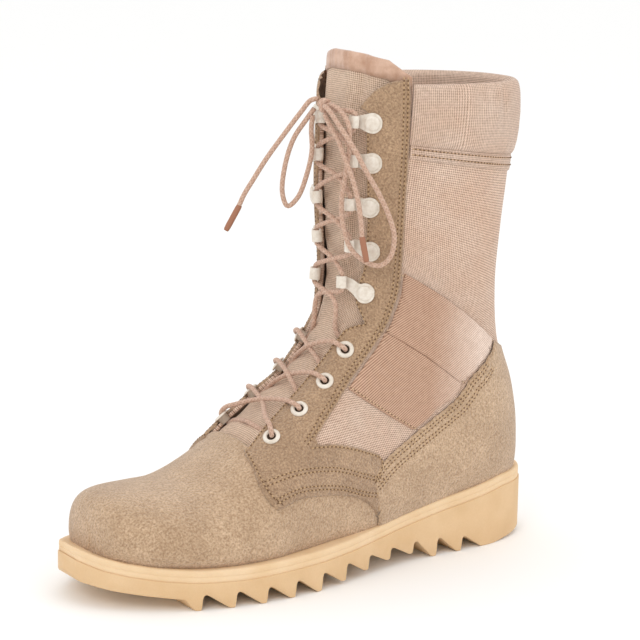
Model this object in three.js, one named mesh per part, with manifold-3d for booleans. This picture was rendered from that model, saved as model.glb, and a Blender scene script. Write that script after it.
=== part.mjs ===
// Lace-up combat boot for the left foot: suede and nylon upper on a ripple sole.
// Millimetres. +X points to the toe, +Y to the outer side of the foot, +Z up.
import * as THREE from 'three';
import { mergeVertices } from 'three/addons/utils/BufferGeometryUtils.js';
import Module from 'manifold-3d';

const wasm = await Module();
wasm.setup();

// Overall sizes
const SOLE_LENGTH = 305;
const BALL_WIDTH = 100.5;
const HEEL_WIDTH = 75;
const SHAFT_WIDTH = 90;
const SHAFT_DEPTH = 118;
const INSTEP_HEIGHT = 141.3;
const COLLAR_HEIGHT = 277;

// Sole
const SOLE_HEEL_HEIGHT = 41.5;
const SOLE_BALL_HEIGHT = 21.7;
const MIDSOLE_THICKNESS = 7;
const MIDSOLE_INSET = 0.8;
const EDGE_BEVEL = 1.6;
const TOOTH_COUNT = 12;
const TOOTH_PITCH = 18.67;
const TOOTH_LAND = 2.4;
const TOOTH_DEPTH = 8.6;
const TOOTH_FACE_LEAN = 1.2;
const ARCH_LIFT = 5.4;
const HEEL_LAND = 9;
const HEEL_BEVEL = 4.2;

// Materials' thicknesses and gaps
const WALL = 2.4;
const SUEDE = 1.5;
const WEBBING = 1.0;
const BACKSTAY_WIDTH = 14;
const TONGUE_THICKNESS = 3.6;
const BINDING_THICKNESS = 0.9;
const BINDING_DEPTH = 10;
const BINDING_SLOT_DEPTH = 15;
const INSOLE_THICKNESS = 4;
const INSOLE_GAP = 0.6;
const CUFF_BULGE = 4.8;
const CUFF_LINING = 3.4;
const GAP = 0.3;
const LAYER_GAP = 0.4;
const SEAT_GAP = 0.6;
const RIM_GAP = 0.9;

// Hardware and lace
const EYELET_RADIUS = 5;
const EYELET_BORE = 2.5;
const EYELET_RIM = 1.2;
const EYELET_TOP_SHARE = .8;
const HOLE_CLEARANCE = 0.6;
const HOLE_REACH = 12;
const BARREL_WALL = 0.7;
const BARREL_SHORT = 0.1;
const RIVET_RADIUS = 4.4;
const RIVET_HEIGHT = 2.2;
const RIVET_TOP_SHARE = .8;
const HOOK_PLATE = 1.2;
const HOOK_PLATE_RISE = 1.4;
const HOOK_PLATE_WIDTH = 5.7;
const HOOK_LIFT = 4.8;
const HOOK_TUBE_RADIUS = 3.2;
const HOOK_TUBE_BORE = 2.1;
const HOOK_TUBE_LENGTH = 7;
const LACE_DIAMETER = 3.2;
const AGLET_DIAMETER = 3.6;
const KNOT_RADIUS = 4.6;

// Mesh density
const COLUMNS = 20;
const PRISM_REACH = 90;
const CUT_MARGIN = 20;

const table = (columns, rows) =>
  rows.map((row) => Object.fromEntries(columns.map((name, i) => [name, row[i]])));

// Heights run from 0 at the floor through 1 at the instep bend to 2 at the collar.
const level = (up) =>
  up <= 1 ? up * INSTEP_HEIGHT : INSTEP_HEIGHT + (up - 1) * (COLLAR_HEIGHT - INSTEP_HEIGHT);

// Sections of the last through the foot, from the toe to the instep bend. Each is a
// slanted plane from a ridge point down to a low point. Lengths are shares of the sole's
// length, widths of the size in the last column.
const FOOT = table(
  ['ridgeAlong', 'ridgeUp', 'lowAlong', 'lowUp', 'centre', 'outer', 'inner', 'widest',
    'ridgePower', 'lowPower', 'width'],
  [
    [.963, .335, .965, .185, -.080, .120, .085, .55, 2.3, 2.2, BALL_WIDTH],
    [.956, .374, .960, .160, -.080, .208, .160, .56, 2.3, 2.2, BALL_WIDTH],
    [.940, .405, .949, .140, -.070, .290, .238, .57, 2.3, 2.2, BALL_WIDTH],
    [.915, .419, .925, .125, -.060, .357, .316, .59, 2.3, 2.3, BALL_WIDTH],
    [.881, .423, .888, .112, -.050, .430, .398, .61, 2.2, 2.4, BALL_WIDTH],
    [.836, .427, .843, .105, -.040, .482, .440, .63, 2.1, 2.4, BALL_WIDTH],
    [.787, .437, .787, .100, -.030, .522, .468, .66, 2.0, 2.5, BALL_WIDTH],
    [.738, .483, .728, .095, -.020, .532, .468, .69, 2.0, 2.7, BALL_WIDTH],
    [.682, .552, .666, .090, -.010, .527, .455, .71, 2.2, 2.9, BALL_WIDTH],
    [.625, .646, .593, .090, -.010, .493, .425, .73, 2.5, 3.0, BALL_WIDTH],
    [.566, .733, .511, .090, -.010, .458, .402, .74, 2.8, 2.8, BALL_WIDTH],
    [.518, .822, .423, .078, .000, .423, .378, .74, 2.9, 2.7, BALL_WIDTH],
    [.485, .913, .321, .092, .000, .520, .487, .68, 2.9, 2.5, HEEL_WIDTH],
    [.463, 1.00, .203, .113, .000, .500, .480, .62, 2.8, 2.3, HEEL_WIDTH],
  ],
);

// Sections from the heel up the shaft to above the collar. The back is a share of the
// sole's length, the depth from back to front a share of the shaft's depth.
const SHAFT = table(
  ['back', 'backUp', 'depth', 'frontUp', 'outer', 'inner', 'widest', 'ridgePower',
    'lowPower', 'width'],
  [
    [.092, .142, .932, 1.079, .493, .480, .58, 2.7, 2.3, HEEL_WIDTH],
    [.030, .241, 1.081, 1.145, .493, .487, .55, 2.6, 2.25, HEEL_WIDTH],
    [.025, .439, 1.089, 1.204, .500, .493, .54, 2.5, 2.3, HEEL_WIDTH],
    [.039, .637, 1.051, 1.263, .507, .507, .53, 2.4, 2.2, HEEL_WIDTH],
    [.075, .849, .958, 1.330, .433, .433, .52, 2.4, 2.2, SHAFT_WIDTH],
    [.087, 1.101, .932, 1.433, .456, .456, .51, 2.4, 2.2, SHAFT_WIDTH],
    [.079, 1.359, .958, 1.580, .472, .472, .50, 2.4, 2.2, SHAFT_WIDTH],
    [.066, 1.639, .987, 1.765, .489, .489, .50, 2.4, 2.2, SHAFT_WIDTH],
    [.057, 1.993, .996, 2.007, .500, .500, .50, 2.4, 2.2, SHAFT_WIDTH],
    [.052, 2.258, .992, 2.258, .500, .500, .50, 2.4, 2.2, SHAFT_WIDTH],
  ],
);

// Plan outline of the sole, as half widths either side of its centre line.
const SOLE_PLAN = table(
  ['along', 'outer', 'inner', 'width'],
  [
    [.000, .030, .030, HEEL_WIDTH],
    [.007, .140, .140, HEEL_WIDTH],
    [.026, .260, .260, HEEL_WIDTH],
    [.062, .365, .365, HEEL_WIDTH],
    [.125, .447, .443, HEEL_WIDTH],
    [.197, .470, .463, HEEL_WIDTH],
    [.262, .476, .467, HEEL_WIDTH],
    [.331, .507, .475, HEEL_WIDTH],
    [.393, .412, .362, BALL_WIDTH],
    [.456, .463, .378, BALL_WIDTH],
    [.515, .507, .403, BALL_WIDTH],
    [.577, .542, .433, BALL_WIDTH],
    [.639, .557, .465, BALL_WIDTH],
    [.698, .557, .502, BALL_WIDTH],
    [.757, .532, .525, BALL_WIDTH],
    [.820, .483, .513, BALL_WIDTH],
    [.885, .388, .468, BALL_WIDTH],
    [.951, .239, .333, BALL_WIDTH],
    [.990, .070, .185, BALL_WIDTH],
    [1.00, -.060, .100, BALL_WIDTH],
  ],
);

// Top edge of the sole: 0 at the ball's height, 1 at the heel's.
const SOLE_RISE = table(
  ['along', 'rise'],
  [
    [0, 1], [.10, .975], [.184, .76], [.292, .515], [.403, .283], [.498, .146],
    [.567, .086], [.659, .035], [.741, 0], [.823, .035], [.882, .121], [.928, .227],
    [.967, .364], [.992, .525], [1, .62],
  ],
);

// Underside of the toe ahead of the first tooth, as heights over the tooth depth.
const TOE_UNDERSIDE = table(
  ['along', 'rise'],
  [[1, 2.07], [.989, 1.58], [.954, 1.29], [.911, 1.06], [.846, .77]],
);
// Heel face of a tooth: how far back it leans, and its height over the valley's.
const TOOTH_HEEL_FACE = table(
  ['lean', 'rise'],
  [[0, 0], [1, .8], [2, 1], [3.4, .93]],
);
const FIRST_TOOTH = .823;
const ARCH_SHARE = [0, 0, 0, 0, 0, .35, .7, 1, .95, 0, 0, 0];
const VALLEY_SHARE = [1, 1, 1, 1.05, 1.15, 1.3, 1.35, 1.35, 1.35, 1.2, .95, .95];

// Opening of the throat, half widths as shares of the shaft's width.
const THROAT = table(
  ['section', 'outer', 'inner'],
  [
    [7.97, .17, .17], [8.2, .23, .26], [9, .20, .28], [10, .17, .28], [11, .16, .27],
    [12.4, .18, .25], [13.1, .20, .24], [14.1, .27, .25], [14.9, .21, .20],
    [16.3, .22, .18], [18.2, .26, .17], [19.3, .28, .17], [20.4, .28, .17],
    [21.3, .27, .17], [23, .27, .18],
  ],
);
const THROAT_DEPTH = .3;
const THROAT_REACH = 20;

// Outlines of the overlays seen from the side. A point is placed by its section and by
// how far it lies across that section, from the ridge at 0 to the low point at 1.
const outline = (rows) => table(['section', 'across'], rows);
const FACING = outline([
  [21.5, -.20], [21.65, .03], [21.9, .057], [22.04, .09], [22.13, .14], [22.13, .205],
  [21.1, .222], [19.5, .230], [18.1, .228], [16.9, .20], [15.9, .172], [14.2, .143],
  [12.9, .138], [11.6, .142], [10.6, .170], [9.75, .232], [10.66, .327], [11.36, .43],
  [11.93, .528], [11.32, .568], [11.25, .68], [11.18, .775], [11.1, .83], [11.0, .70],
  [10.66, .638], [10.14, .588], [9.57, .538], [9.05, .488], [8.65, .474], [8.28, .468],
  [8.12, .438], [8.0, .368], [7.9, .258], [7.95, .157], [8.08, .045], [8.1, -.20],
  [9.5, -.25], [11.5, -.30], [14, -.30], [18, -.20],
]);
const COUNTER = outline([
  [17.75, .82], [16.8, .67], [15.56, .541], [14.1, .487], [13.03, .507], [11.97, .538],
  [11.38, .578], [11.30, .68], [11.24, .78], [11.2, .86], [11.2, 1.2], [15, 1.3],
  [17.2, 1.3], [17.9, 1.2], [17.9, .95],
]);
const WEB = outline([
  [18.07, .236], [18.02, .476], [17.9, .634], [17.6, .762], [16.75, .655],
  [15.5, .528], [14.05, .474], [13.0, .495], [12.3, .318], [11.66, .152],
  [12.9, .148], [14.2, .153], [15.9, .182], [16.9, .21],
]);
const COLLAR_TRIM = outline([
  [21.55, -.3], [21.62, .02], [21.86, .055], [22.0, .09], [22.09, .14], [22.09, .197],
  [21.5, .20], [21.5, .6], [21.5, 1.3], [23.1, 1.3], [23.1, -.3],
]);

// Cross-section of the padded cuff: up its outside, over the top, down the lining,
// then round the slot that takes the shaft's wall. Proud is a share of the bulge
// outside the wall, and of the lining's thickness inside it.
const CUFF_SECTION = table(
  ['section', 'base', 'proud'],
  [
    [21.08, 'outside', .20], [21.15, 'outside', .66], [21.32, 'outside', .95],
    [21.62, 'outside', 1], [21.88, 'outside', .72], [21.99, 'outside', .2],
    [22.0, 'inside', .1], [21.9, 'inside', .8], [21.55, 'inside', 1],
    [21.15, 'inside', .95], [21.08, 'inside', .2], [21.08, 'inside', 0],
    [21.6, 'inside', 0], [21.6, 'outside', 0], [21.08, 'outside', 0],
  ],
);
const CUFF_FROM_ACROSS = .232;
const CUFF_END_SECTION = 21.4;

// Strip up the back of the shaft, from past the low point to a share across
const BACKSTAY_SECTIONS = [18.15, 18.6, 19, 19.5, 20, 20.5, 21];
const BACKSTAY_BEYOND = 1.2;
const BACKSTAY_SHARE = .75;

// Rim of the tongue: how far it reaches round each side, as shares of the half turn.
const TONGUE_SPAN = table(
  ['section', 'side'],
  [
    [7.5, .30], [8, .33], [9, .33], [10, .33], [11, .33], [12, .33], [13, .33], [14, .34],
    [15, .34], [16, .34], [17, .34], [18, .34], [19, .34], [20, .33], [21, .32],
    [22, .32],
  ],
);
// Height of the tongue's top edge above the collar, from its inner to its outer side.
const TONGUE_TOP = table(
  ['side', 'rise'],
  [[-1, 0], [-.6, .35], [-.2, .97], [.1, 1], [.4, .9], [.7, .76], [1, .24]],
);
const TONGUE_RISE = 17.4;

const EYELETS = table(
  ['section', 'around'],
  [[8.9, .162], [9.94, .152], [11.1, .150], [12.48, .162]],
);
const HOOKS = table(
  ['section', 'outerRivet', 'outerTube', 'innerRivet', 'innerTube'],
  [
    [15.8, .180, .088, .150, .050], [18.3, .205, .125, .140, .040],
    [19.65, .200, .125, .130, .032], [20.68, .200, .132, .130, .030],
    [21.4, .190, .125, .125, .022],
  ],
);

// Free ends and loops of the bow, as points along each.
const BOW = {
  knot: [143.5, 3, 265],
  lace_loop_left: [
    [146, -4.1, 262.8], [149.6, -6.8, 256.4], [155.5, -10.5, 245.5], [159.5, -13, 230],
    [160.5, -13.7, 214], [158, -12, 207], [153.2, -9, 212], [149, -6, 226],
    [147, -4.5, 239], [147.6, -4.5, 251], [147.4, -3.8, 259],
  ],
  lace_end_left: [
    [144.4, -2.3, 268.6], [148, -5.2, 267.2], [152, -8.2, 261], [160, -13.4, 248],
    [168.5, -19, 233.5], [174.2, -23, 222], [178.4, -25.8, 213.5], [181, -27.5, 206.5],
  ],
  lace_loop_right: [
    [144, 9.6, 266], [143.5, 17, 264], [142.8, 25, 257], [142, 25.6, 247],
    [142.8, 23.9, 230], [144.5, 22, 212], [143.5, 23.5, 198], [141.5, 27.5, 187.5],
    [136, 33, 180.5], [128.5, 38, 178], [124, 41.5, 183], [122.5, 43, 194],
    [125.5, 42.5, 205], [131, 40, 218], [137.5, 35, 232], [142.5, 31.5, 243],
    [146.5, 24, 254], [147.8, 14, 263], [147.5, 8, 265.5],
  ],
  lace_end_right: [
    [147, 8, 260.6], [147.5, 13, 256], [147, 21, 248], [146, 27, 238],
    [144, 32, 227], [142.5, 35.5, 215], [141, 36.8, 203], [140.2, 37, 194.5],
  ],
};
const AGLETS = {
  aglet_left: [[181.25, -27.7, 205.6], [187, -31.5, 192.4]],
  aglet_right: [[140.1, 37.05, 193.6], [138, 38.5, 181]],
};

const SUEDE_FINISH = { color: 0xc4a78b, roughness: 0.95 };
const NYLON_FINISH = { color: 0xdbbd9f, roughness: 0.85 };
const WEBBING_FINISH = { color: 0xc9a48c, roughness: 0.8 };
const BINDING_FINISH = { color: 0xc49a80, roughness: 0.55 };
const CREPE_FINISH = { color: 0xddb985, roughness: 0.75 };
const CREPE_LIGHT_FINISH = { color: 0xe4c294, roughness: 0.75 };
const PAINTED_FINISH = { color: 0xddd0c2, roughness: 0.4 };
const LACE_FINISH = { color: 0xc5a08a, roughness: 0.85 };
const AGLET_FINISH = { color: 0xa06e55, roughness: 0.5 };

// Sections in millimetres, from the toe to above the collar
const COLUMN_NAMES = ['px', 'pz', 'qx', 'qz', 'centre', 'outer', 'inner', 'widest',
  'ridgePower', 'lowPower'];
const SECTIONS = [
  ...FOOT.map((r) => ({
    ...r,
    px: r.ridgeAlong * SOLE_LENGTH,
    pz: level(r.ridgeUp),
    qx: r.lowAlong * SOLE_LENGTH,
    qz: level(r.lowUp),
    centre: r.centre * r.width,
    outer: r.outer * r.width,
    inner: r.inner * r.width,
  })),
  ...SHAFT.map((r) => ({
    ...r,
    px: r.back * SOLE_LENGTH + r.depth * SHAFT_DEPTH,
    pz: level(r.frontUp),
    qx: r.back * SOLE_LENGTH,
    qz: level(r.backUp),
    centre: 0,
    outer: r.outer * r.width,
    inner: r.inner * r.width,
  })),
];
const LAST_SECTION = SECTIONS.length - 1;

function spline(before, from, to, after, share) {
  const square = share * share;
  return 0.5 * (2 * from + (to - before) * share
    + (2 * before - 5 * from + 4 * to - after) * square
    + (3 * from - before - 3 * to + after) * square * share);
}

// A section at any place along the boot, by a smooth curve through the table
function sectionAt(place) {
  const bounded = Math.min(Math.max(place, 0), LAST_SECTION - 1e-9);
  const i = Math.floor(bounded);
  const section = {};
  for (const name of COLUMN_NAMES) {
    const from = SECTIONS[i][name];
    const to = SECTIONS[i + 1][name];
    const before = i > 0 ? SECTIONS[i - 1][name] : 2 * from - to;
    const after = i + 2 <= LAST_SECTION ? SECTIONS[i + 2][name] : 2 * to - from;
    section[name] = spline(before, from, to, after, bounded - i);
  }
  return section;
}

// A point on the last. Around runs from 0 at the ridge to 1 at the low point, positive
// on the outer side and negative on the inner.
function lastPoint(place, around) {
  const s = sectionAt(place);
  const cosine = Math.cos(around * Math.PI);
  const sine = Math.sin(around * Math.PI);
  const power = cosine >= 0 ? s.ridgePower : s.lowPower;
  const reach = cosine >= 0 ? s.widest : 1 - s.widest;
  const half = sine >= 0 ? s.outer : s.inner;
  const across = s.widest - reach * Math.sign(cosine) * Math.abs(cosine) ** (2 / power);
  return new THREE.Vector3(
    s.px + (s.qx - s.px) * across,
    s.centre + half * Math.sign(sine) * Math.abs(sine) ** (2 / power),
    s.pz + (s.qz - s.pz) * across,
  );
}

const NORMAL_STEP = 0.02;
const TOE_AXIS = new THREE.Vector3(1, 0, 0);

function lastNormal(place, around) {
  const a = lastPoint(Math.max(place - NORMAL_STEP, 0), around);
  const b = lastPoint(Math.min(place + NORMAL_STEP, LAST_SECTION), around);
  const c = lastPoint(place, around - NORMAL_STEP);
  const d = lastPoint(place, around + NORMAL_STEP);
  const normal = d.sub(c).cross(b.sub(a)).normalize();
  if (place > 0) return normal;
  normal.x = 0;
  return normal.normalize().add(TOE_AXIS);
}

const column = (j) => (2 * j) / COLUMNS;

// A point offset from the last's faceted surface, straight between the grid's columns
function surfacePoint(place, around, offset) {
  const exact = around / column(1);
  const j = Math.floor(exact + 1e-9);
  const share = exact - j;
  const at = (k) => lastPoint(place, column(k)).addScaledVector(
    lastNormal(place, column(k)), offset);
  return share < 1e-6 ? at(j) : at(j).lerp(at(j + 1), share);
}

// Where a share across a section meets the last, as a share of the half turn
function aroundOf(place, across) {
  const s = sectionAt(place);
  const ridgeSide = across < s.widest;
  const reach = ridgeSide ? s.widest : 1 - s.widest;
  const power = ridgeSide ? s.ridgePower : s.lowPower;
  const cosine = Math.abs((s.widest - across) / reach) ** (power / 2);
  return Math.acos(ridgeSide ? cosine : -cosine) / Math.PI;
}

function geometryOf(points, triangles) {
  const geometry = new THREE.BufferGeometry();
  const flat = points.flatMap((p) => [p.x, p.y, p.z]);
  geometry.setAttribute('position', new THREE.Float32BufferAttribute(flat, 3));
  geometry.setIndex(triangles.flat());
  return geometry;
}

function toSolid(geometry) {
  const bare = geometry.clone();
  bare.deleteAttribute('normal');
  bare.deleteAttribute('uv');
  const merged = mergeVertices(bare, 1e-4);
  return new wasm.Manifold(new wasm.Mesh({
    numProp: 3,
    vertProperties: new Float32Array(merged.attributes.position.array),
    triVerts: new Uint32Array(merged.index.array),
  }));
}

function toGeometry(solid) {
  const mesh = solid.getMesh();
  const geometry = new THREE.BufferGeometry();
  geometry.setAttribute('position', new THREE.BufferAttribute(mesh.vertProperties, 3));
  geometry.setIndex(new THREE.BufferAttribute(mesh.triVerts, 1));
  geometry.computeVertexNormals();
  return geometry;
}

// Triangles between successive rings of equal count
function wallTriangles(ringCount, count) {
  const triangles = [];
  for (let i = 0; i + 1 < ringCount; i += 1) {
    for (let j = 0; j < count; j += 1) {
      const k = (j + 1) % count;
      const a = i * count;
      const b = a + count;
      triangles.push([a + j, b + j, b + k], [a + j, b + k, a + k]);
    }
  }
  return triangles;
}

// Joins rings of equal count into a closed skin, with a fan over each end
function ringSolid(rings) {
  const count = rings[0].length;
  const points = rings.flat();
  const triangles = wallTriangles(rings.length, count);
  for (const [first, turned] of [[0, false], [(rings.length - 1) * count, true]]) {
    const middle = new THREE.Vector3();
    for (let j = 0; j < count; j += 1) middle.addScaledVector(points[first + j], 1 / count);
    const hub = points.push(middle) - 1;
    for (let j = 0; j < count; j += 1) {
      const k = (j + 1) % count;
      triangles.push(turned ? [hub, first + k, first + j] : [hub, first + j, first + k]);
    }
  }
  return outward(points, triangles);
}

function outward(points, triangles) {
  let volume = 0;
  for (const [a, b, c] of triangles) {
    volume += points[a].dot(points[b].clone().cross(points[c]));
  }
  const faces = volume > 0 ? triangles : triangles.map(([a, b, c]) => [a, c, b]);
  return toSolid(geometryOf(points, faces));
}

// The last grown or shrunk by an offset
const forms = new Map();
function lastForm(offset) {
  if (!forms.has(offset)) {
    const rings = [];
    for (let i = 0; i <= LAST_SECTION; i += 1) {
      const ring = [];
      for (let j = 0; j < COLUMNS; j += 1) ring.push(surfacePoint(i, column(j), offset));
      rings.push(ring);
    }
    forms.set(offset, ringSolid(rings));
  }
  return forms.get(offset);
}

const shellOf = (low, high) => lastForm(high).subtract(lastForm(low));

// A flat outline in X and Z, stood up between two places in Y
function prism(points, from, to) {
  const shape = new THREE.Shape(points.map(([x, z]) => new THREE.Vector2(x, z)));
  const geometry = new THREE.ExtrudeGeometry(shape, {
    depth: to - from,
    bevelEnabled: false,
    steps: 1,
  });
  geometry.rotateX(Math.PI / 2);
  geometry.translate(0, to, 0);
  return toSolid(geometry);
}

function sectionSpot({ section, across }) {
  const s = sectionAt(section);
  return [s.px + (s.qx - s.px) * across, s.pz + (s.qz - s.pz) * across];
}

function sidePrism(rows, side) {
  const points = rows.map(sectionSpot);
  return side > 0 ? prism(points, 0, PRISM_REACH) : prism(points, -PRISM_REACH, 0);
}

const bothSides = (rows) => prism(rows.map(sectionSpot), -PRISM_REACH, PRISM_REACH);

// A band that runs along the sections between two shares across them
function ribbonSolid(rows, fromAcross, toAcross, reach) {
  return ringSolid(rows.map(({ section, outer, inner }) => {
    const s = sectionAt(section);
    const p = new THREE.Vector3(s.px, 0, s.pz);
    const q = new THREE.Vector3(s.qx, 0, s.qz);
    const out = p.clone().sub(q).normalize();
    const near = p.clone().lerp(q, fromAcross).addScaledVector(out, reach);
    const far = p.clone().lerp(q, toAcross);
    return [
      new THREE.Vector3(near.x, outer, near.z),
      new THREE.Vector3(near.x, -inner, near.z),
      new THREE.Vector3(far.x, -inner, far.z),
      new THREE.Vector3(far.x, outer, far.z),
    ];
  }));
}

// Straight reading of a table by one of its columns
function readTable(rows, key, value, at) {
  let i = 0;
  while (i + 2 < rows.length && rows[i + 1][key] < at) i += 1;
  const share = (at - rows[i][key]) / (rows[i + 1][key] - rows[i][key]);
  const bounded = Math.min(Math.max(share, 0), 1);
  return rows[i][value] + (rows[i + 1][value] - rows[i][value]) * bounded;
}

// Sole
const SOLE_STATIONS = [];
const STATION_COUNT = 24;
for (let i = 0; i <= STATION_COUNT; i += 1) {
  SOLE_STATIONS.push((1 - Math.cos((Math.PI * i) / STATION_COUNT)) / 2);
}

const soleTop = (along) => SOLE_BALL_HEIGHT
  + (SOLE_HEEL_HEIGHT - SOLE_BALL_HEIGHT) * readTable(SOLE_RISE, 'along', 'rise', along);

const PLAN_OUTER = new THREE.CatmullRomCurve3(SOLE_PLAN.map((r) =>
  new THREE.Vector3(r.along, r.outer * r.width, 0)), false, 'centripetal');
const PLAN_INNER = new THREE.CatmullRomCurve3(SOLE_PLAN.map((r) =>
  new THREE.Vector3(r.along, r.inner * r.width, 0)), false, 'centripetal');

// Both edges of the plan, sampled at the same shares of the length
function planEdges(curve) {
  const samples = curve.getPoints(SOLE_PLAN.length * 12);
  const rows = samples.map((p) => ({ along: p.x, half: p.y }));
  return (along) => readTable(rows, 'along', 'half', along);
}
const outerHalf = planEdges(PLAN_OUTER);
const innerHalf = planEdges(PLAN_INNER);

// A slab of the sole between levels, each set in from the outline and below the top
function soleSlab(levels) {
  const points = [];
  const triangles = [];
  const n = SOLE_STATIONS.length;
  for (const { inset, height } of levels) {
    const shrink = 1 - (2 * inset) / SOLE_LENGTH;
    for (const [half, side] of [[outerHalf, 1], [innerHalf, -1]]) {
      for (const along of SOLE_STATIONS) {
        const x = inset + along * SOLE_LENGTH * shrink;
        const y = side * half(along) - (side * inset);
        const narrowed = along === 0 || along === 1 ? side * half(along) : y;
        points.push(new THREE.Vector3(x, narrowed, height(along)));
      }
    }
  }
  const at = (levelIndex, row, i) => (levelIndex * 2 + row) * n + i;
  for (let k = 0; k + 1 < levels.length; k += 1) {
    for (let i = 0; i + 1 < n; i += 1) {
      const strip = (row, turned) => {
        const quad = [at(k, row, i), at(k, row, i + 1), at(k + 1, row, i + 1),
          at(k + 1, row, i)];
        const [a, b, c, d] = turned ? quad.reverse() : quad;
        triangles.push([a, b, c], [a, c, d]);
      };
      strip(0, false);
      strip(1, true);
    }
    for (const [i, turned] of [[0, false], [n - 1, true]]) {
      const quad = [at(k, 0, i), at(k + 1, 0, i), at(k + 1, 1, i), at(k, 1, i)];
      const [a, b, c, d] = turned ? quad.reverse() : quad;
      triangles.push([a, b, c], [a, c, d]);
    }
  }
  for (const [k, turned] of [[0, false], [levels.length - 1, true]]) {
    for (let i = 0; i + 1 < n; i += 1) {
      const quad = [at(k, 0, i), at(k, 1, i), at(k, 1, i + 1), at(k, 0, i + 1)];
      const [a, b, c, d] = turned ? quad.reverse() : quad;
      triangles.push([a, b, c], [a, c, d]);
    }
  }
  return outward(points, triangles);
}

function makeMidsole() {
  return soleSlab([
    { inset: MIDSOLE_INSET, height: (a) => soleTop(a) - MIDSOLE_THICKNESS },
    { inset: MIDSOLE_INSET, height: (a) => soleTop(a) - EDGE_BEVEL },
    { inset: MIDSOLE_INSET + EDGE_BEVEL, height: soleTop },
  ]);
}

// Side view of the underside, from the toe to the heel
function undersideProfile() {
  const points = TOE_UNDERSIDE.map(({ along, rise }) =>
    [along * SOLE_LENGTH, rise * TOOTH_DEPTH]);
  for (let i = 0; i < TOOTH_COUNT; i += 1) {
    const tip = FIRST_TOOTH * SOLE_LENGTH - i * TOOTH_PITCH;
    const lift = ARCH_SHARE[i] * ARCH_LIFT;
    points.push([tip + TOOTH_LAND / 2, lift]);
    if (i === TOOTH_COUNT - 1) {
      points.push([tip - HEEL_LAND, lift]);
      break;
    }
    const valley = TOOTH_DEPTH * VALLEY_SHARE[i];
    const foot = tip - TOOTH_LAND / 2;
    for (const { lean, rise } of TOOTH_HEEL_FACE) {
      points.push([foot - TOOTH_FACE_LEAN * lean, lift + (valley - lift) * rise]);
    }
  }
  points.push([0, HEEL_BEVEL]);
  return points;
}

function makeOutsole() {
  const top = (a) => soleTop(a) - MIDSOLE_THICKNESS - GAP;
  const block = soleSlab([
    { inset: 0, height: () => -1 },
    { inset: 0, height: top },
  ]);
  const profile = undersideProfile();
  const ground = [[-CUT_MARGIN, HEEL_BEVEL], [-CUT_MARGIN, -CUT_MARGIN],
    [SOLE_LENGTH + CUT_MARGIN, -CUT_MARGIN],
    [SOLE_LENGTH + CUT_MARGIN, TOE_UNDERSIDE[0].rise * TOOTH_DEPTH]];
  return block.subtract(prism([...profile, ...ground], -PRISM_REACH, PRISM_REACH));
}

// Everything below a surface held a set height over the sole
function underSole(height) {
  const inset = MIDSOLE_INSET + EDGE_BEVEL;
  const shrink = SOLE_LENGTH - 2 * inset;
  const profile = SOLE_STATIONS.map((a) => [inset + a * shrink, soleTop(a) + height]);
  const start = soleTop(0) + height;
  const end = soleTop(1) + height;
  return prism([
    [-CUT_MARGIN, -CUT_MARGIN], [SOLE_LENGTH + CUT_MARGIN, -CUT_MARGIN],
    [SOLE_LENGTH + CUT_MARGIN, end], ...profile.reverse(), [-CUT_MARGIN, start],
  ], -PRISM_REACH, PRISM_REACH);
}

// Upper
const FACING_LOW = GAP;
const FACING_TOP = GAP + SUEDE;
const WEB_TOP = GAP + WEBBING;
const BINDING_OUTSIDE = -(WALL + LAYER_GAP);
const TONGUE_OUTSIDE = BINDING_OUTSIDE - BINDING_THICKNESS - GAP;
const BARREL_RADIUS = EYELET_BORE + BARREL_WALL;
const HOLE_RADIUS = BARREL_RADIUS + HOLE_CLEARANCE;

// Turns a piece that stands on +Z at the origin to stand on the last at a place
function standOn(solid, place, around, offset) {
  const spot = surfacePoint(place, around, offset);
  const normal = lastNormal(place, around);
  const turn = new THREE.Quaternion().setFromUnitVectors(
    new THREE.Vector3(0, 0, 1), normal);
  const matrix = new THREE.Matrix4().compose(spot, turn, new THREE.Vector3(1, 1, 1));
  return solid.transform(matrix.elements);
}

const ROUND_SIDES = 8;

function lathe(profile, sides = ROUND_SIDES) {
  const points = profile.map(([r, z]) => new THREE.Vector2(r, z));
  const geometry = new THREE.LatheGeometry(points, sides);
  geometry.rotateX(Math.PI / 2);
  const solid = toSolid(geometry);
  if (solid.volume() > 0) return solid;
  const flipped = geometry.clone();
  const order = flipped.index.array;
  for (let i = 0; i < order.length; i += 3) [order[i], order[i + 1]] = [order[i + 1], order[i]];
  return toSolid(flipped);
}

const throatCut = ribbonSolid(
  THROAT.map((r) => ({
    section: r.section,
    outer: r.outer * SHAFT_WIDTH,
    inner: r.inner * SHAFT_WIDTH,
  })), 0, THROAT_DEPTH, THROAT_REACH);

function eyeletHoles() {
  const pin = lathe([[0, -HOLE_REACH], [HOLE_RADIUS, -HOLE_REACH],
    [HOLE_RADIUS, HOLE_REACH], [0, HOLE_REACH]]);
  return EYELETS.flatMap(({ section, around }) => [
    standOn(pin, section, around, 0),
    standOn(pin, section, -around, 0),
  ]).reduce((all, one) => all.add(one));
}
const holes = eyeletHoles();
const soleBlock = underSole(GAP);

function makeUpper() {
  return shellOf(-WALL, 0)
    .subtract(soleBlock)
    .subtract(bothSides(COLLAR_TRIM))
    .subtract(throatCut)
    .subtract(holes);
}

function makeFacing(side) {
  return shellOf(FACING_LOW, FACING_TOP)
    .intersect(sidePrism(FACING, side))
    .subtract(throatCut)
    .subtract(soleBlock)
    .subtract(holes);
}

function makeCounter() {
  return shellOf(FACING_LOW, FACING_TOP)
    .intersect(bothSides(COUNTER))
    .subtract(soleBlock);
}

const makeWebbing = (side) => shellOf(FACING_LOW, WEB_TOP).intersect(sidePrism(WEB, side));

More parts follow.
